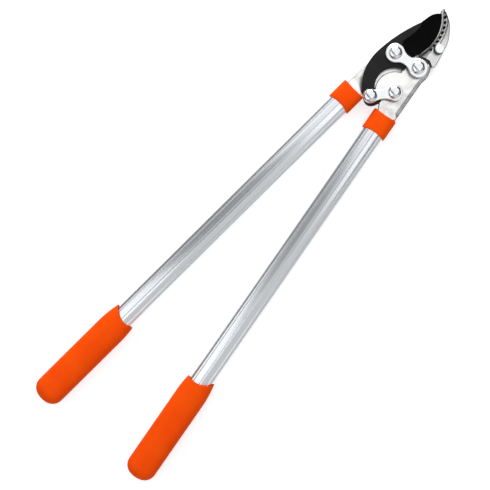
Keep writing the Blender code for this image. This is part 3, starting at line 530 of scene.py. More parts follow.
def plate(outline, holes, bottom, top, rim, inset, drop, straight=0.0, inside=None):
    """Sheets of a flat part, the first one its sheared edge. Its side climbs to an upper rim whose
    width, fall and straightness may differ from point to point: a quarter ellipse where straight is
    nothing, a chamfer where it is one. A narrow level hem at either end keeps the flats shading flat.
    """
    rows, hem = 7, 0.1 * MM
    turn, ease = quarter(rows)[:, None], np.linspace(0, 1, rows)[:, None]
    inward = inset * ((1 - straight) * (1 - np.cos(turn)) + straight * ease)
    fall = drop * ((1 - straight) * (1 - np.sin(turn)) + straight * (1 - ease))
    lower, climb = rim * (1 - np.sin(turn)), bottom + rim * (1 - np.cos(turn))
    inward, fall, lower, climb = (
        np.broadcast_to(part, (rows, len(outline))) for part in (inward, fall, lower, climb)
    )
    offset = join((lower[:1] + hem, lower, inward, inward[-1:] + hem))
    height = join((climb[:1], climb, top - fall, top - fall[-1:]))
    plan = outline - outward(outline) * offset[:, :, None]
    side = join((plan, height[:, :, None]), axis=2)
    circles, bores = bored(holes, bottom, top)
    sheets = [sheet_of(side[:10], close_columns=True), sheet_of(side[9:], close_columns=True)] + bores
    sheets.append(filled([plan[0]] + circles, bottom, holes, inside))
    sheets.append(filled([plan[-1]] + circles, top, holes, inside))
    return sheets


def add_object(name, data):
    """Put a mesh, a lamp or a camera in the scene."""
    thing = bpy.data.objects.new(name, data)
    bpy.context.scene.collection.objects.link(thing)
    return thing


def add_piece(mesh, finish_names, body, node):
    """Show a mesh as a piece that stands for a node and rides on its body."""
    piece = add_object(mesh.name, mesh)
    for name in finish_names:
        mesh.materials.append(finish(name))
    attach(piece, body)
    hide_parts(node)


def on_handle(side, across, along, above):
    """World points of places given across, along and above a handle's axis."""
    sizes = bpy.context.scene.lopper_handles
    lean = sizes.tilt if side == "right" else -sizes.tilt
    axis = sizes.right_axis if side == "right" else sizes.left_axis
    x = axis + along * sin(lean) + across * cos(lean)
    y = -along * cos(lean) + across * sin(lean)
    return np.stack(np.broadcast_arrays(x, y, sizes.middle + above), axis=-1)


def handle_plan(side, places):
    """Plan points of places in millimetres across and along a handle."""
    across, along = np.array(places, float).T * MM
    return on_handle(side, across, along, 0.0)[:, :2]


def pin_holes(side):
    """The two holes for the pins that lock a tang in its tube."""
    return [(centre, 2.3 * MM) for centre in handle_plan(side, ((0.0, 91.0), (0.0, 100.0)))]


def add_pair(name, rings, closed, crease, finish_name, node):
    """A piece on either handle over rings of places across, along and above its axis, worked out for
    each side. The surface is closed to a ring, or ends in a point at both ends."""
    for side, body in SIDES.items():
        grid = np.stack([on_handle(side, *ring) for ring in rings(side)])
        mesh = surface(side + name, grid, closed, crease)
        add_piece(mesh, (finish_name.replace("SIDE", side),), body, side + node)


def oval(angle, half_width, half_depth, power):
    """A superellipse: each coordinate is a cosine or sine raised to two over the power."""
    across, above = (np.sign(wave) * np.abs(wave) ** (2 / power) for wave in (np.cos(angle), np.sin(angle)))
    return half_width * across, half_depth * above


def spun(centre, profile, steps=72, reach=np.inf):
    """The grid of points of a profile of radius and height carried round a vertical axis, nowhere
    farther out than a reach that may differ with the angle."""
    angle = full_turn(steps)
    radius, height = np.array(profile, float).T[:, :, None]
    radius = np.minimum(radius, reach)
    x, y = centre[0] + radius * np.cos(angle), centre[1] + radius * np.sin(angle)
    return np.stack(np.broadcast_arrays(x, y, height), axis=-1)


def turned(name, node, profile, crease=32.0, steps=72, reach=np.inf):
    """A profile carried round a node's axis. A profile that leaves the axis free is closed to a ring."""
    grid = spun(node_centre(node), profile, steps, reach)
    return surface(name, grid, profile[0][0] > 0, crease)


def filleted(corners, radii):
    """A profile through corners with its ends kept. Each corner is a quadratic curve between the two
    points that lie its own radius away from it."""
    corners = np.array(corners, float)
    share = np.linspace(0, 1, 5)[:, None]
    points = [corners[0]]
    for before, corner, after, radius in zip(corners, corners[1:], corners[2:], radii):
        first, last = (
            corner + (end - corner) / np.linalg.norm(end - corner) * radius for end in (before, after)
        )
        bend = (1 - share) ** 2 * first + 2 * share * (1 - share) * corner + share ** 2 * last
        points += list(bend) if radius > 0 else [corner]
    return points + [corners[-1]]


class LOPPER_OT_tubes(Operator):
    """Extruded aluminium tubes with three shallow grooves on each broad face"""

    bl_idname = "lopper.tubes"
    bl_label = "Handle Tubes"

    def outline(self, cut, sizes, grooved=True):
        """The oval section, cut back all round. A groove takes a raised cosine off both broad faces."""
        angle, power = full_turn(300), 2.3
        across = (cut - sizes.tube_width) * np.cos(angle)
        above = (sizes.tube_depth - cut) * (1 - np.abs(np.cos(angle)) ** power) ** (1 / power)
        for place in (-sizes.groove_pitch, 0.0, sizes.groove_pitch) if grooved else ():
            offset = np.clip(np.abs(across - place) / sizes.groove_width, 0, 1)
            above = above - sizes.groove_depth * 0.5 * (1 + np.cos(pi * offset))
        return across, np.where(angle < pi, above, -above)

    def execute(self, context):
        sizes = context.scene.lopper_handles
        ease, start, end = 0.3 * MM, sizes.tube_start, sizes.tube_end
        outer, trimmed = self.outline(0.0, sizes), self.outline(ease, sizes)
        inner = self.outline(sizes.tube_wall, sizes, False)
        rows = (
            (trimmed, start), (outer, start + ease), (outer, start + 3 * ease), (outer, end - 3 * ease),
            (outer, end - ease), (trimmed, end), (inner, end), (inner, start),
        )
        rings = [(across, along, above) for (across, above), along in rows]
        add_pair("_handle_tube", lambda side: rings, True, 60.0, "drawn_aluminium_SIDE", "_tube")
        return {"FINISHED"}


class LOPPER_OT_grips(Operator):
    """Moulded grips with a scooped mouth, a swelling shoulder, a domed end and a flat underside"""

    bl_idname = "lopper.grips"
    bl_label = "Grips"

    dome = 18.0 * MM

    def section(self, angle, along, sizes):
        """Oval at a station: a sine swell behind the mouth and a superellipse dome at the end."""
        swell = np.sin(0.5 * pi * ramp(along, 507.0, 541.0)) ** 0.9
        closing = np.clip((along - sizes.grip_end + self.dome) / self.dome, 0, 1)
        shrink = (1 - closing ** 2.2) ** (1 / 2.2)
        width = sizes.mouth_width + (sizes.grip_width - sizes.mouth_width) * swell
        depth = sizes.mouth_depth + (sizes.grip_depth - sizes.mouth_depth) * swell
        return oval(angle, width * shrink, depth * shrink, 2.4)

    def mouth(self, across, side):
        """Where the mouth lies along the axis: an arc in plan whose centre is nearer the other handle."""
        inward = (-8.0 if side == "right" else 8.0) * MM
        return 484.6 * MM + np.sqrt(np.maximum((34.0 * MM) ** 2 - (across - inward) ** 2, 0))

    def rings(self, side):
        """Rings from the bottom of the bore, out over the lip and down the body to the dome."""
        sizes = bpy.context.scene.lopper_handles
        angle = full_turn(160)
        bore_width, bore_depth = sizes.tube_width + SLIP, sizes.tube_depth + SLIP
        rings = []
        # share of the bore's width, distance behind the mouth and widening, both in millimetres
        for share, inset, flare in ((0, 0, 0), (1, 0, 0), (1, 22.0, 0), (1, 2.6, 0), (1, 0.7, 0.45)):
            width, depth = (bore_width + flare * MM) * share, (bore_depth + flare * MM) * share
            across, above = oval(angle, width, depth, 2.3)
            along = self.mouth(across, side) + inset * MM if inset else sizes.tube_end + 0.5 * MM
            rings.append((across, along, above))
        shoulder = 548.0 * MM
        lips = dict(enumerate((0.42, 0.16, 0.05)))
        for number, step in enumerate(join((np.linspace(0, 1, 5) ** 1.6 * 0.06, np.linspace(0.1, 1, 16)))):
            along = np.full_like(angle, 515.0 * MM)
            for _ in range(6):
                across, above = self.section(angle, along, sizes)
                along = self.mouth(across, side) * (1 - step) + shoulder * step
            squeeze = 1 - lips.get(number, 0.0) * MM / sizes.mouth_width
            rings.append((across * squeeze, along, above * squeeze))
        dome_start = sizes.grip_end - self.dome
        body = np.linspace(shoulder, dome_start, 12)[1:]
        for station in join((body, dome_start + self.dome * np.sin(quarter(22))[1:])):
            across, above = self.section(angle, station, sizes)
            rings.append((across, station, above))
        return [(across, along, np.maximum(above, -sizes.middle)) for across, along, above in rings]

    def execute(self, context):
        add_pair("_hand_grip", self.rings, False, 40.0, "moulded_orange", "_grip")
        return {"FINISHED"}


class LOPPER_OT_collars(Operator):
    """Orange ferrules that close the tubes' head ends round the steel tangs"""

    bl_idname = "lopper.collars"
    bl_label = "Collars"

    def front(self, across, sizes):
        """The head end, hollowed in plan by an arc of long radius."""
        radius = 75.0 * MM
        return sizes.collar_start + 1.3 * MM - radius + np.sqrt(radius ** 2 - across ** 2)

    def rear(self, across, sizes):
        """The rear end, hollowed a little more."""
        radius = 85.0 * MM
        return sizes.collar_end - 1.8 * MM + radius - np.sqrt(radius ** 2 - across ** 2)

    def execute(self, context):
        sizes = context.scene.lopper_handles
        angle = full_turn(144)
        inner_end = sizes.tube_start - SLIP
        slot_low, slot_high = -3.0 * MM, 2.1 * MM
        slot_across, slot_above = oval(angle, 12.9 * MM, 0.5 * (slot_high - slot_low), 14.0)
        slot_above = slot_above + 0.5 * (slot_high + slot_low)
        bore_across, bore_above = oval(angle, sizes.tube_width + SLIP, sizes.tube_depth + SLIP, 2.3)
        rows = [(slot_across, inner_end, slot_above)]
        rows.append((slot_across, self.front(slot_across, sizes) + 0.2 * MM, slot_above))
        for end, insets in (
            (self.front, ((1.9, 0.0), (1.2, 0.12), (0.6, 0.5), (0.2, 1.1), (0.0, 2.2))),
            (self.rear, ((0.0, -2.0), (0.12, -0.9), (0.4, -0.25), (0.8, 0.0))),
        ):
            # each row is set in from the full oval and back from the end, in millimetres
            for inset, back in insets:
                width, depth = sizes.collar_width - inset * MM, sizes.collar_depth - inset * MM
                across, above = oval(angle, width, depth, 2.5)
                rows.append((across, end(across, sizes) + back * MM, above))
        rows.append((bore_across, self.rear(bore_across, sizes), bore_above))
        rows.append((bore_across, inner_end, bore_above))
        add_pair("_ferrule", lambda side: rows, True, 45.0, "moulded_orange", "_collar")
        return {"FINISHED"}


class LOPPER_OT_bolts(Operator):
    """Domed pivot bolts and the tail rivet, each a low dome on a short upright rim"""

    bl_idname = "lopper.bolts"
    bl_label = "Bolts"

    def execute(self, context):
        radius = context.scene.lopper_head.head_radius
        bolts = [(pivot + "_bolt", body, 4.0 * MM) for pivot, body in PIVOTS.items()]
        for node, body, shank in bolts + [("tail_rivet", "link", 3.5 * MM)]:
            low, high = node_height(node)
            seat, rim = high - 5.2 * MM, high - 4.4 * MM
            profile = [(0.0, low), (shank - 0.5 * MM, low), (shank, low + 0.5 * MM)]
            profile += filleted([(shank, seat), (radius, seat), (radius, rim)], (0.3 * MM,))
            turn = quarter(26)[1:-1]
            dome = np.stack((radius * np.cos(turn) ** 0.8, rim + (high - rim) * np.sin(turn)), axis=1)
            name = node.replace("_bolt", "_dome_bolt")
            mesh = turned(name, node, [*profile, *dome, (0.0, high)], 38.0)
            add_piece(mesh, ("polished_bolt",), body, node)
        return {"FINISHED"}


def dog_bone(first, first_radius, second, second_radius, waist):
    """Two round lobes joined by hollow sides of one radius, found by halving an interval."""
    length = np.linalg.norm(second - first)
    low, high = 0.0, 50.0 * length
    for _ in range(60):
        hollow = 0.5 * (low + high)
        near, far = (
            sqrt((lobe - waist) * (lobe + waist + 2 * hollow)) for lobe in (first_radius, second_radius)
        )
        low, high = (hollow, high) if near + far < length else (low, hollow)
    rise = waist + hollow
    near_angle, far_angle = atan2(rise, near), atan2(rise, near - length)
    local = join((
        arc_points((0.0, 0.0), first_radius, near_angle, 2 * pi - near_angle, 80),
        arc_points((near, -rise), hollow, pi - near_angle, pi - far_angle, 40)[1:-1],
        arc_points((length, 0.0), second_radius, -far_angle, far_angle, 80),
        arc_points((near, rise), hollow, far_angle - pi, near_angle - pi, 40)[1:-1],
    ))
    direction = (second - first) / length
    side = np.array((-direction[1], direction[0]))
    return first + local[:, :1] * direction + local[:, 1:] * side


class LOPPER_OT_links(Operator):
    """The front strap over both pivots and the short drive link, with softly rounded rims"""

    bl_idname = "lopper.links"
    bl_label = "Strap and Link"

    def execute(self, context):
        sizes = context.scene.lopper_head
        bore = sizes.bolt_bore
        strap = (("blade_pivot_bolt", sizes.strap_lobe, bore), ("main_pivot_bolt", sizes.strap_lobe, bore))
        link = (("link_bolt", sizes.link_lobe, bore), ("tail_rivet", sizes.tail_lobe, bore - 0.5 * MM))
        self.add_link("pivot_strap", "hook_handle", "front_strap", strap, sizes.strap_waist, sizes.rim)
        self.add_link("tail_link", "link", "drive_link", link, sizes.link_waist, sizes.rim)
        return {"FINISHED"}

    def add_link(self, name, body, node, ends, waist, rim):
        """A dog bone between two bolts, each end given as its bolt, lobe radius and hole radius."""
        first, second = ((node_centre(bolt), lobe) for bolt, lobe, bore in ends)
        holes = [(node_centre(bolt), bore) for bolt, lobe, bore in ends]
        outline = dog_bone(*first, *second, waist)
        sheets = plate(outline, holes, *node_height(node), 0.5 * MM, rim, rim)
        # Painted shade: the side takes the dark edge finish.
        mesh = mesh_of(name, sheets, 32.0, [1] + [0] * (len(sheets) - 1))
        add_piece(mesh, ("bright_zinc", "dull_edge_painted_shade"), body, node)


class LOPPER_OT_hardware(Operator):
    """Turned spacers and washers, hexagon lock nuts and the stud on the hook"""

    bl_idname = "lopper.hardware"
    bl_label = "Spacers, Washers, Nuts and Stud"

    def execute(self, context):
        sizes = context.scene.lopper_head
        # outer radii in millimetres at the three pivots
        for part, radii in (("_spacer", (9.0, 9.0, 8.0)), ("_washer", (8.6, 8.6, 8.6))):
            for (pivot, body), radius in zip(PIVOTS.items(), radii):
                self.add_ring(pivot + part, body, radius * MM, sizes.bolt_bore)
        for pivot, body in PIVOTS.items():
            self.add_nut(pivot + "_nut", body, sizes.bolt_bore)
        self.add_stud("jaw_stud", sizes.stud_radius)
        return {"FINISHED"}

    def add_ring(self, node, body, radius, bore):
        """A flat ring with a small chamfer on its outer rims."""
        low, high = node_height(node)
        chamfer = 0.25 * MM
        profile = [(bore, low), (radius - chamfer, low), (radius, low + chamfer)]
        profile += [(radius, high - chamfer), (radius - chamfer, high), (bore, high)]
        add_piece(turned(node + "_ring", node, profile), ("bright_zinc",), body, node)

    def add_nut(self, node, body, bore):
        """A hexagon cut by a cone at both ends, over a round collar that holds the nylon ring. The
        hexagon lies outside the collar and cuts only the wider levels."""
        low, high = node_height(node)
        hexagon = 7.5 * MM * cos(pi / 6) / np.cos(full_turn(144) % (pi / 3) - pi / 6)
        collar = ((4.9, 0.0), (5.6, 0.5), (5.9, 1.2), (6.4, 1.2), (7.0, 1.55), (7.6, 1.95))
        profile = [(bore, low)] + [(radius * MM, low + rise * MM) for radius, rise in collar]
        profile += [(7.6 * MM, high - 0.45 * MM), (6.9 * MM, high), (bore, high)]
        mesh = turned(node + "_hexagon", node, profile, 25.0, 144, hexagon)
        add_piece(mesh, ("bright_zinc",), body, node)

    def add_stud(self, node, radius):
        """A plain round stop with a softly rounded crown, riveted through the hook."""
        low, high = node_height(node)
        neck, seat, rim = 2.5 * MM, 16.1 * MM, 0.6 * MM
        foot = (radius + 1.0 * MM, seat)
        corners = [(0.0, low), (neck, low), (neck, seat), foot, (radius, high - 1.35 * rim)]
        skirt = filleted(corners, (0.3 * MM, 0.0, 0.3 * MM))
        turn = quarter(9)[1:]
        crown = np.stack(
            (radius - rim * (1 - np.cos(turn)), high - 0.1 * MM - 1.25 * rim * (1 - np.sin(turn))), axis=1
        )
        crown = [skirt[-1], *crown, (0.5 * radius, high - 0.03 * MM), (0.0, high)]
        sheets = [sheet_of(spun(node_centre(node), part), close_columns=True) for part in (skirt, crown)]
        # The skirt takes the near black finish as painted shade; the crown is plated.
        mesh = mesh_of("hook_stud", sheets, 32.0, (0, 1))
        add_piece(mesh, ("stud_skirt_shade", "bright_zinc"), "hook_handle", node)


class LOPPER_OT_blade(Operator):
    """The bypass blade: flat back, hollow-ground face and a bare honed edge"""

    bl_idname = "lopper.blade"
    bl_label = "Blade"

    # plan in millimetres: arcs are a centre and a radius, the rest are curves through points
    tip = (-21.8, 76.9)
    back = ((-23.0, 76.5), (-27.2, 73.6), (-30.8, 69.2), (-33.2, 63.8), (-34.6, 58.0), (-36.2, 52.0))
    border = ((-36.2, 52.0), (-33.6, 42.0), (-36.0, 27.0), (-38.6, 15.0), (-32.0, 7.5), (-15.6, 6.5))
    spine = ((153.0, -43.3), 211.3)
    edge = ((-64.7, 37.7), 58.5)
    crescent = ((-7.5, -39.7), 26.9)
    tail = (
        (-57.2, -22.0), (-57.1, -29.0), (-56.2, -36.8), (-53.3, -48.2), (-47.4, -60.6), (-40.2, -70.6),
        (-34.2, -75.2),
    )
    eye = ((-34.2, -75.2), (-29.5, -78.8), (-24.5, -81.6), (-18.4, -81.2), (-13.2, -76.6), (-9.6, -69.5))
    lip = ((-9.6, -69.5), (-10.2, -63.8), (-15.0, -60.6), (-22.0, -60.0), (-27.54, -57.63))
    neck = ((-12.09, -13.19), (-14.2, -4.0), (-15.6, 6.5))
    foot = (-9.6, 18.6)

    def arc_between(self, circle, start, end, steps):
        """Points on a circle between the directions of two points, the short way round."""
        centre, radius = np.array(circle[0]), circle[1]
        turns = np.unwrap([atan2(*(np.array(point) - centre)[::-1]) for point in (start, end)])
        return arc_points(centre * MM, radius * MM, *turns, steps)

    def execute(self, context):
        bottom, top = node_height("blade")
        land, rim = bottom + 0.5 * MM, 0.45 * MM
        spine = self.arc_between(self.spine, self.back[-1], self.tail[0], 90)
        crescent = self.arc_between(self.crescent, self.lip[-1], self.neck[0], 90)
        crescent[0], crescent[-1] = np.array(self.lip[-1]) * MM, np.array(self.neck[0]) * MM
        flat = [spine[:-1]] + [curve(points, 8)[:-1] for points in (self.tail, self.eye, self.lip)]
        flat = join(flat + [crescent[:-1], curve(self.neck, 8)])
        back = even(curve((self.tip,) + self.back), 60)
        border = even(curve(self.border), 121)
        edge = even(self.arc_between(self.edge, self.tip, self.foot, 200), 180)
        edge[0], edge[-1] = back[0], np.array(self.foot) * MM
        width = context.scene.lopper_head.honed_width
        ground, honed, foot_line = self.ground_face(join((back, border[1:])), edge, land, top, width)
        normal = outward(join((flat, edge[::-1], back[1:])))[: len(flat)]
        number = np.arange(len(flat))
        rim = rim * np.minimum(1, np.minimum(number, number[::-1]) / 8)
        rows = [level(flat, bottom)]
        for angle in quarter(6):
            plan = flat - normal * rim[:, None] * (1 - cos(angle))
            rows.append(level(plan, top - rim * (1 - sin(angle))))
        holes = [(node_centre("blade_pivot_bolt"), 4.3 * MM), (node_centre("tail_rivet"), 5.6 * MM)]
        circles, bores = bored(holes, bottom, top)
        upper = join((rows[-1][:, :2], border[::-1][1:-1]))
        under = join((flat, edge[::-1], back[1:-1]))
        sheets = [sheet_of(np.stack(rows)), filled([upper] + circles, top, holes)]
        sheets += [filled([under] + circles, bottom, holes)] + bores
        sheets += [wall(back, bottom, top), wall(edge, bottom, land)]
        sheets += [wall(foot_line[:, :2], bottom, foot_line[:, 2]), ground, honed]
        mesh = mesh_of("bypass_blade", sheets, 24.0, [0] * (len(sheets) - 2) + [1, 2])
        add_piece(mesh, ("black_coating", "ground_face_painted_shade", "honed_edge"), "blade", "blade")
        return {"FINISHED"}

    def ground_face(self, start, edge, land, top, width):
        """A ruled face from the border to the edge that falls as a power of the way across it, and
        a straight honed strip that widens from the tip to the foot, both as grids of points."""
        reach = np.linalg.norm(edge - start, axis=1)
        honed = np.minimum(width * (0.2 + 1.9 * np.linspace(0, 1, len(edge)) ** 3), 0.5 * reach)
        seam = 1 - honed / np.maximum(reach, 0.00001)
        rise = land + 0.5 * honed
        share, strip_share = np.linspace(0, 1, 19)[:, None], np.linspace(0, 1, 4)[:, None]
        face, strip = (
            join((start + (edge - start) * across[:, :, None], height[:, :, None]), axis=2)
            for across, height in (
                (share * seam, rise + (top - rise) * (1 - share) ** 1.3),
                (seam + (1 - seam) * strip_share, rise + (land - rise) * strip_share),
            )
        )
        return sheet_of(face), sheet_of(strip), join((face[:, -1], strip[1:, -1]))


class LOPPER_OT_lever(Operator):
    """The lever plate: round head, relieved under the strap, broad disc and a tang with a bevelled side"""

    bl_idname = "lopper.lever"
    bl_label = "Lever Plate"

    tang = (
        (-12.6, 76.0), (-12.4, 110.0), (-12.4, 147.0), (-9.4, 150.0), (9.4, 150.0), (12.4, 147.0),
        (12.4, 76.0), (12.8, 75.2), (15.0, 74.2),
    )

    def execute(self, context):
        sizes = context.scene.lopper_head
        relief, bevel_drop = 3.9 * MM, 2.07 * MM
        side_foot = handle_plan("right", [(16.7, 72.5)])[0]
        run = side_foot - np.array((18.9, -3.0)) * MM
        angle = np.linspace(atan2(run[0], -run[1]), radians(196.0), 90)
        ease = np.clip(np.minimum(angle - radians(60.0), radians(150.0) - angle) / 0.28, 0, 1)
        reach = sizes.lever_head - relief * smooth(ease)
        head = np.stack((reach * np.cos(angle), reach * np.sin(angle)), axis=1)
        disc = arc_points((-3.7 * MM, -43.0 * MM), sizes.lever_disc, radians(112.0), radians(258.0), 110)
        side = even(np.stack((side_foot, head[0])), 60)[:-1]
        along = np.linspace(0, 1, len(side))
        trim = sizes.lever_trim * smooth(np.clip((1 - along) * 5, 0, 1))[:, None]
        climb = head[0] - side_foot
        side = side + trim * np.array((-climb[1], climb[0])) / np.linalg.norm(climb)
        outline = join((head, disc, handle_plan("right", self.tang), side))
        bevel = np.zeros(len(outline))
        bevel[-len(side):] = np.clip(along * 12, 0, 1)
        bevel[: len(head)] = np.clip((radians(58.0) - angle) / radians(24.0), 0, 1)
        inset = sizes.lever_rim + (sizes.side_bevel - sizes.lever_rim) * bevel
        drop = sizes.lever_rim + (bevel_drop - sizes.lever_rim) * bevel
        holes = [(np.zeros(2), sizes.bolt_bore), (node_centre("link_bolt"), sizes.bolt_bore)]
        holes += pin_holes("right")
        sheets = plate(outline, holes, *node_height("lever_plate"), 0.3 * MM, inset, drop, bevel)
        # Painted shade: the rim away from the bevel takes the dark edge finish, drawing a dark line round the
        # plate, and the bevel's rows are painted a little darker.
        rim = bevel[np.arange(len(sheets[1][1])) % len(outline)] < 0.05
        marks = [np.zeros(len(points)) for points, faces in sheets]
        marks[1] = np.resize(0.2 * bevel, len(marks[1]))
        marks[1][-len(outline):] = 0.0
        numbers = [1, rim.astype(int)] + [0] * (len(sheets) - 2)
        mesh = mesh_of("lever_frame", sheets, 24.0, numbers, join(marks))
        add_piece(mesh, ("mottled_plate", "dull_edge_painted_shade"), "lever_handle", "lever_plate")
        return {"FINISHED"}


class LOPPER_OT_hook(Operator):
    """The hook and its frame plate: joggled tang, pivot lobes and a serrated sloping band"""

    bl_idname = "lopper.hook"
    bl_label = "Serrated Hook"

    inner_edge = (
        (-25.8, 82.0), (-22.8, 77.0), (-14.4, 65.5), (-8.7, 50.5), (-7.3, 34.0), (-10.6, 17.5), (-15.0, 9.0),
    )
    outer_edge = (
        (-24.6, 86.0), (-21.2, 85.2), (-16.0, 82.5), (-11.7, 79.8), (-3.4, 73.2), (8.2, 56.0),
        (13.3, 37.0), (16.4, 21.0), (17.8, 10.0),
    )
    throat = ((-28.0, 8.6), (-20.0, 9.6), (-13.5, 13.0), (-8.0, 22.0), (4.0, 26.0), (15.4, 21.0))
    tang = (
        (11.4, 52.0), (12.4, 58.0), (12.4, 147.0), (9.4, 150.0), (-9.4, 150.0), (-12.4, 147.0), (-12.4, 40.0),
    )

    def frame_plate(self, sizes):
        """The flat part of the hook, lifted into the handle's middle by a smooth step in its tang, and
        its painted shade, deep in the groove between the lever's head and the hook's shoulder, where shade
        falls."""
        bottom, top = 6.5 * MM, 11.0 * MM
        lobe = arc_points((0.0, 0.0), 19.0 * MM, radians(4.0), radians(-100.0), 60)
        tang = handle_plan("left", self.tang)
        blade_pivot = node_centre("blade_pivot_bolt")
        corner = arc_points(blade_pivot, 13.4 * MM, radians(178.0), radians(88.0), 40)
        flank = curve(((-10.5, -22.5), (-22.5, -35.0), tang[0] / MM), 10)[:-1]
        start = np.array(((17.3, 14.6), (18.5, 7.0))) * MM
        outline = join((start, lobe, flank, tang, corner, curve(self.throat, 8)))[::-1]
        holes = [(np.zeros(2), sizes.bolt_bore), (blade_pivot, sizes.bolt_bore)] + pin_holes("left")
        step = np.stack(np.meshgrid(np.linspace(-11.2, 11.2, 12), np.linspace(50, 76, 27)), axis=-1)
        shoulder = sizes.shoulder / MM
        groove = np.array((12.8, 13.2, 15.2, 17.2, shoulder, shoulder + 0.3)) * MM
        rings = [arc_points((0.0, 0.0), radius, radians(122.0), radians(49.0), 50) for radius in groove]
        inside = join([handle_plan("left", step.reshape(-1, 2))] + rings)
        rim = sizes.plate_rim
        sheets = plate(outline, holes, bottom, top, 0.3 * MM, rim, rim, 0.0, inside)
        plan = join([points[:, :2] for points, faces in sheets])
        radius = np.linalg.norm(plan, axis=1)
        # Painted shade on the groove's floor, standing in for the shadow between the lever's head and the
        # shoulder.
        deep = (radius > groove[1] - 0.05 * MM) & (radius < groove[-2] + 0.05 * MM)
        deep = deep & (plan[:, 1] > 9.8 * MM) & (plan[:, 0] > -10.8 * MM)
        return [(self.joggled(points), faces) for points, faces in sheets], 0.93 * deep

    def joggled(self, points):
        """Points raised by a cubic step of their distance down the left handle's axis."""
        handles = bpy.context.scene.lopper_handles
        down = np.array((-sin(handles.tilt), -cos(handles.tilt)))
        along = (points[:, :2] - (handles.left_axis, 0.0)) @ down
        points[:, 2] += 4.8 * MM * smooth(ramp(along, 54.0, 73.0))
        return points

    def shoulder_line(self, count, radius):
        """The hook's foot in plan: a hollow that swings to an arc round the main pivot, then a straight
        run to its back."""
        start = arc_points((0.0, 0.0), radius, radians(123.0), radians(123.0), 1)
        arc = arc_points((0.0, 0.0), radius, radians(74.0), radians(50.0), 30)
        line = curve(join((start / MM, [(-4.5, 17.45), (0.6, 18.6)], arc / MM)))
        return even(join((line, [(16.9 * MM, 17.7 * MM)])), count)

    def gullets(self, along, off, pitch):
        """Oval bowls along the band, each a squared round falloff, and slanting teeth that rise between
        two bowls on their outer side. Depth and height are shares of one."""
        first, count, half_length, half_width = 3.8 * MM, 9, 2.25 * MM, 1.75 * MM
        aside = off - (6.1 - 1.3 * ramp(along, 24.0, 54.0)) * MM
        number = np.clip(np.round((along - first) / pitch), 0, count - 1)
        reach = (along - first - number * pitch) / half_length
        bowl = np.clip(1 - reach ** 2 - (aside / half_width) ** 2, 0, 1) ** 0.7
        slanted = (along + 0.47 * aside - first) / pitch
        ridge = np.clip(1 - (np.abs(slanted - np.floor(slanted) - 0.5) / 0.2) ** 2, 0, 1)
        ridge = ridge * np.clip(1 - ((aside - 1.7 * MM) / (1.8 * MM)) ** 2, 0, 1)
        return bowl, ridge * (slanted > 0) * (slanted < count - 0.6)

    def band_fall(self, along, off, width, drop):
        """Fall below the hook's face: a nearly level lip at the inner edge, then an even slope."""
        lip, tilt = np.minimum((3.3 - 1.5 * ramp(along, 12.0, 52.0)) * MM, 0.6 * width), 0.1
        slope = (drop - tilt * lip) / (width - lip)
        return np.maximum(np.where(off < lip, drop - tilt * off, slope * (width - off)), 0), lip

    def jaw(self, sizes):
        """Sheets of the hook and their painted shade. A point lies a share of the way from the inner edge to
        the back, and near the foot the sections bend until the last one follows the shoulder."""
        rows, top, low = 400, 15.8 * MM, 6.2 * MM
        inner, outer = curve(self.inner_edge, 40), curve(self.outer_edge, 40)
        foot = self.shoulder_line(rows, sizes.shoulder)
        inner = inner[: np.argmin(np.abs(np.linalg.norm(inner, axis=1) - sizes.shoulder)) + 1]
        outer = outer[: np.argmin(np.linalg.norm(outer - foot[-1], axis=1)) + 1]
        inner, outer = even(inner, rows), even(outer, rows)
        share = join((np.linspace(0, 0.6, 66)[:-1], np.linspace(0.6, 0.9, 14)[:-1], np.linspace(0.9, 1, 9)))
        run = np.linspace(0, 1, rows)
        chord = inner[:, None] + (outer - inner)[:, None] * share[None, :, None]
        bend = np.clip((run - 0.62) / 0.38, 0, 1) ** 1.6
        plan = chord + bend[:, None, None] * (picked(share, run, foot) - chord[-1])
        across = np.linalg.norm(outer - inner, axis=1)[:, None]
        off = share * across
        along = run[:, None] * np.linalg.norm(np.diff(inner, axis=0), axis=1).sum() + 0 * off
        width = np.minimum((6 + 3.8 * ramp(along, 0.0, 9.0)) * MM, 0.85 * across)
        fall, lip = self.band_fall(along, off, width, sizes.band_drop)
        bowl, ridge = self.gullets(along, off, sizes.gullet_pitch)
        crest = np.exp(-((off - width) / (0.65 * MM)) ** 2) * (1 - ramp(along, 54.0, 62.0))
        height = top - fall - sizes.gullet_depth * bowl + 0.5 * MM * ridge * (off < width) - 0.25 * MM * crest
        from_back = off - across
        brow, under = ramp(from_back, -1.6, 0.0), ramp(from_back, -0.8, 0.0)
        height = np.minimum(height, top) - 1.5 * MM * (1 - np.sqrt(1 - brow ** 2))
        under = low + 0.8 * MM * (1 - np.sqrt(1 - under ** 2))
        upper, lower = (join((plan, rise[:, :, None]), axis=2) for rise in (height, under))
        grids = [upper, lower]
        grids += [np.stack((lower[:, end], upper[:, end])) for end in (0, -1)]
        grids += [np.stack((lower[end], upper[end])) for end in (0, -1)]
        marks = [self.painted_shading(plan, along, off, from_back, width, lip, crest, bowl, ridge)]
        # Painted shade on the jaw's side and end walls, and more on the wall at the foot.
        marks += [np.full(grid.shape[:2], 0.6) for grid in grids[1:]]
        marks[-1] += 0.35
        return [sheet_of(grid) for grid in grids], join([mark.ravel() for mark in marks])

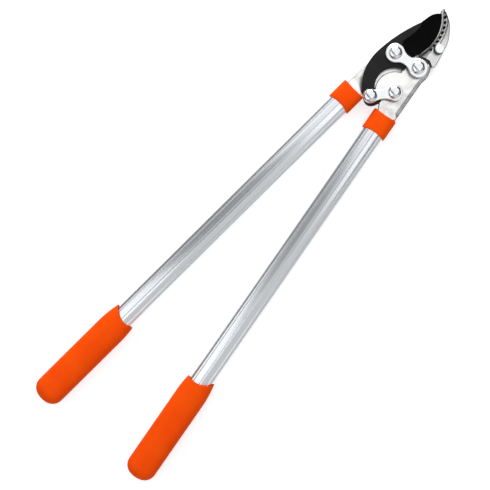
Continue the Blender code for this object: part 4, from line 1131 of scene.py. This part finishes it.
    def painted_shading(self, plan, along, off, from_back, width, lip, crest, bowl, ridge):
        """Painted shade of the hook's upper face, heavier in the gullets and along the band's crest: its lip,
        the band's slope, its body and the shaded facet.
        """
        place = along / MM
        body = np.interp(place, (0, 11, 22, 33, 39, 46, 70), (0.7, 0.66, 0.56, 0.46, 0.33, 0.28, 0.3))
        body += 0.12 * ramp(from_back, -1.5, -0.8)
        near_lip = np.interp(place, (0, 25, 45), (0.45, 0.3, 0.1)) + 0.5 * (1 - ramp(off, 0.9, 1.3))
        slope = 0.56 * (1 - ridge) + np.interp(place, (8, 28), (0.2, 0.56)) * ridge
        mark = np.where(off < lip, near_lip, np.where(off < width, slope, body)) + 0.5 * crest + 1.5 * bowl
        facet = (1 - ramp(plan[:, :, 0], -0.4, 0.4)) * ramp(along, 54.5, 56.0)
        return np.clip(np.where(off < lip, mark, np.maximum(mark, 0.85 * facet)), 0, 1)

    def execute(self, context):
        sizes = context.scene.lopper_head
        frame_sheets, frame_painted_shade = self.frame_plate(sizes)
        jaw_sheets, jaw_painted_shade = self.jaw(sizes)
        marks = join((frame_painted_shade, jaw_painted_shade))
        mesh = mesh_of("serrated_hook", frame_sheets + jaw_sheets, 35.0, None, marks)
        add_piece(mesh, ("satin_plate",), "hook_handle", "hook_plate")
        return {"FINISHED"}


class LOPPER_OT_inner_parts(Operator):
    """Finishes of the beddings and pins inside the tubes, which keep their own meshes"""

    bl_idname = "lopper.inner_parts"
    bl_label = "Inner Parts"

    parts = {"_tang_insert": "black_nylon", "_front_tang_pin": "bright_zinc", "_rear_tang_pin": "bright_zinc"}

    def execute(self, context):
        for side in SIDES:
            for part, finish_name in self.parts.items():
                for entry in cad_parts[side + part].material_slots:
                    entry.material = finish(finish_name)
        return {"FINISHED"}


class LOPPER_OT_studio(Operator):
    """Plain pale floor, soft lamps and a camera that looks straight down"""

    bl_idname = "lopper.studio"
    bl_label = "Studio"

    # place from the tool's middle, width and length, brightness, and whether it faces the tool
    lamps = (
        ("grip_end_lamp", (-1.4, -1.6, 1.9), (3.0, 2.8), "grip_glow", False),
        ("head_end_lamp", (-1.0, 1.69, 1.9), (3.6, 2.62), "end_glow", False),
        ("ceiling", (0.0, 0.0, 2.4), (6.0, 6.0), "fill_glow", False),
        ("ceiling_wing", (1.3, -0.55, 2.35), (2.6, 2.3), "wing_glow", False),
        ("right_wall", (2.0, -0.1, 0.95), (2.4, 1.7), "wall_glow", True),
        ("left_card", (-2.0, -0.1, 0.95), (2.4, 1.7), "card_glow", True),
        ("low_head_lamp", (-1.5, 1.9, 0.85), (2.0, 1.5), "low_glow", True),
        ("low_grip_lamp", (1.5, -1.9, 0.85), (2.0, 1.5), "back_glow", True),
    )

    def execute(self, context):
        scene, settings = context.scene, context.scene.lopper_studio
        self.add_floor(settings)
        scene.camera = self.add_camera(settings)
        middle = Vector((0.0, settings.camera_place[1], 0.0))
        for name, place, size, glow, aimed in self.lamps:
            self.add_lamp(name, Vector(place), middle, size, getattr(settings, glow), aimed)
        world = bpy.data.worlds.new("studio_surroundings")
        world.use_nodes = True
        tree = world.node_tree
        seen = tree.nodes.new("ShaderNodeLightPath").outputs["Is Camera Ray"]
        backdrop = blend_colours(tree, seen, settings.sky, settings.backdrop)
        tree.links.new(backdrop, tree.nodes["Background"].inputs["Color"])
        scene.world = world
        scene.view_settings.view_transform = "Standard"
        return {"FINISHED"}

    def add_floor(self, settings):
        """A wide floor just under the tool, a little whiter where the camera or metal sees it."""
        reach, low = 60.0, CAD_BOX[0][2] - 0.0002
        corners = [(-reach, -reach, low), (reach, -reach, low), (reach, reach, low), (-reach, reach, low)]
        mesh = bpy.data.meshes.new("floor")
        mesh.from_pydata(corners, [], [(0, 1, 2, 3)])
        material, tree, shader = new_finish(
            "pale_floor", settings.floor,
            Roughness=0.9, Specular_IOR_Level=0.1, Emission_Color=(1.0, 1.0, 1.0),
        )
        rays = tree.nodes.new("ShaderNodeLightPath").outputs
        seen = maths(tree, "MAXIMUM", rays["Is Camera Ray"], rays["Is Glossy Ray"])
        feed(tree, shader, Emission_Strength=span(tree, seen, 0.0, settings.floor_lift, 0.0, 1.0))
        mesh.materials.append(material)
        floor = add_object("floor", mesh)

    def add_camera(self, settings):
        """The camera hangs over the tool and looks straight down."""
        data = bpy.data.cameras.new("camera")
        data.lens = settings.lens
        data.sensor_width = 36.0
        camera = add_object("camera", data)
        camera.location = settings.camera_place
        camera.rotation_euler = (0.0, 0.0, settings.camera_turn)
        return camera

    def add_lamp(self, name, place, middle, size, glow, aimed):
        """A flat soft box that faces down or at the tool. Its power is worked out from its brightness."""
        data = bpy.data.lights.new(name, "AREA")
        data.shape = "RECTANGLE"
        data.size, data.size_y = size
        data.energy = pi * glow * size[0] * size[1]
        lamp = add_object(name, data)
        lamp.location = place + middle
        if aimed:
            lamp.rotation_euler = (-place).to_track_quat("-Z", "Y").to_euler()
        lamp.visible_camera = False


OPERATORS = (
    LOPPER_OT_tubes,
    LOPPER_OT_grips,
    LOPPER_OT_collars,
    LOPPER_OT_bolts,
    LOPPER_OT_links,
    LOPPER_OT_hardware,
    LOPPER_OT_blade,
    LOPPER_OT_lever,
    LOPPER_OT_hook,
    LOPPER_OT_inner_parts,
    LOPPER_OT_studio,
)
GROUPS = {
    "lopper_handles": HandleSizes,
    "lopper_head": HeadSizes,
    "lopper_colours": FinishColours,
    "lopper_studio": StudioSettings,
}


class LOPPER_PT_sidebar(Panel):
    """Lists the sizes, colours and steps of the lopper's finish"""

    bl_idname = "LOPPER_PT_sidebar"
    bl_label = "Lopper"
    bl_space_type = "VIEW_3D"
    bl_region_type = "UI"
    bl_category = "Lopper"

    def draw(self, context):
        for key, group in GROUPS.items():
            box = self.layout.box()
            for name in group.__annotations__:
                box.prop(getattr(context.scene, key), name)
        for operator in OPERATORS:
            self.layout.operator(operator.bl_idname)


def register():
    """Register the groups, operators and panel."""
    for name, group in GROUPS.items():
        bpy.utils.register_class(group)
        setattr(bpy.types.Scene, name, PointerProperty(type=group))
    for operator in OPERATORS:
        bpy.utils.register_class(operator)
    bpy.utils.register_class(LOPPER_PT_sidebar)


def unregister():
    """Take everything out again, in the opposite order."""
    bpy.utils.unregister_class(LOPPER_PT_sidebar)
    for operator in reversed(OPERATORS):
        bpy.utils.unregister_class(operator)
    for name, group in reversed(GROUPS.items()):
        delattr(bpy.types.Scene, name)
        bpy.utils.unregister_class(group)


def main():
    """Register the add-on, then build every piece and the studio."""
    register()
    for operator in OPERATORS:
        group, name = operator.bl_idname.split(".")
        getattr(getattr(bpy.ops, group), name)()


if __name__ == "__main__":
    main()
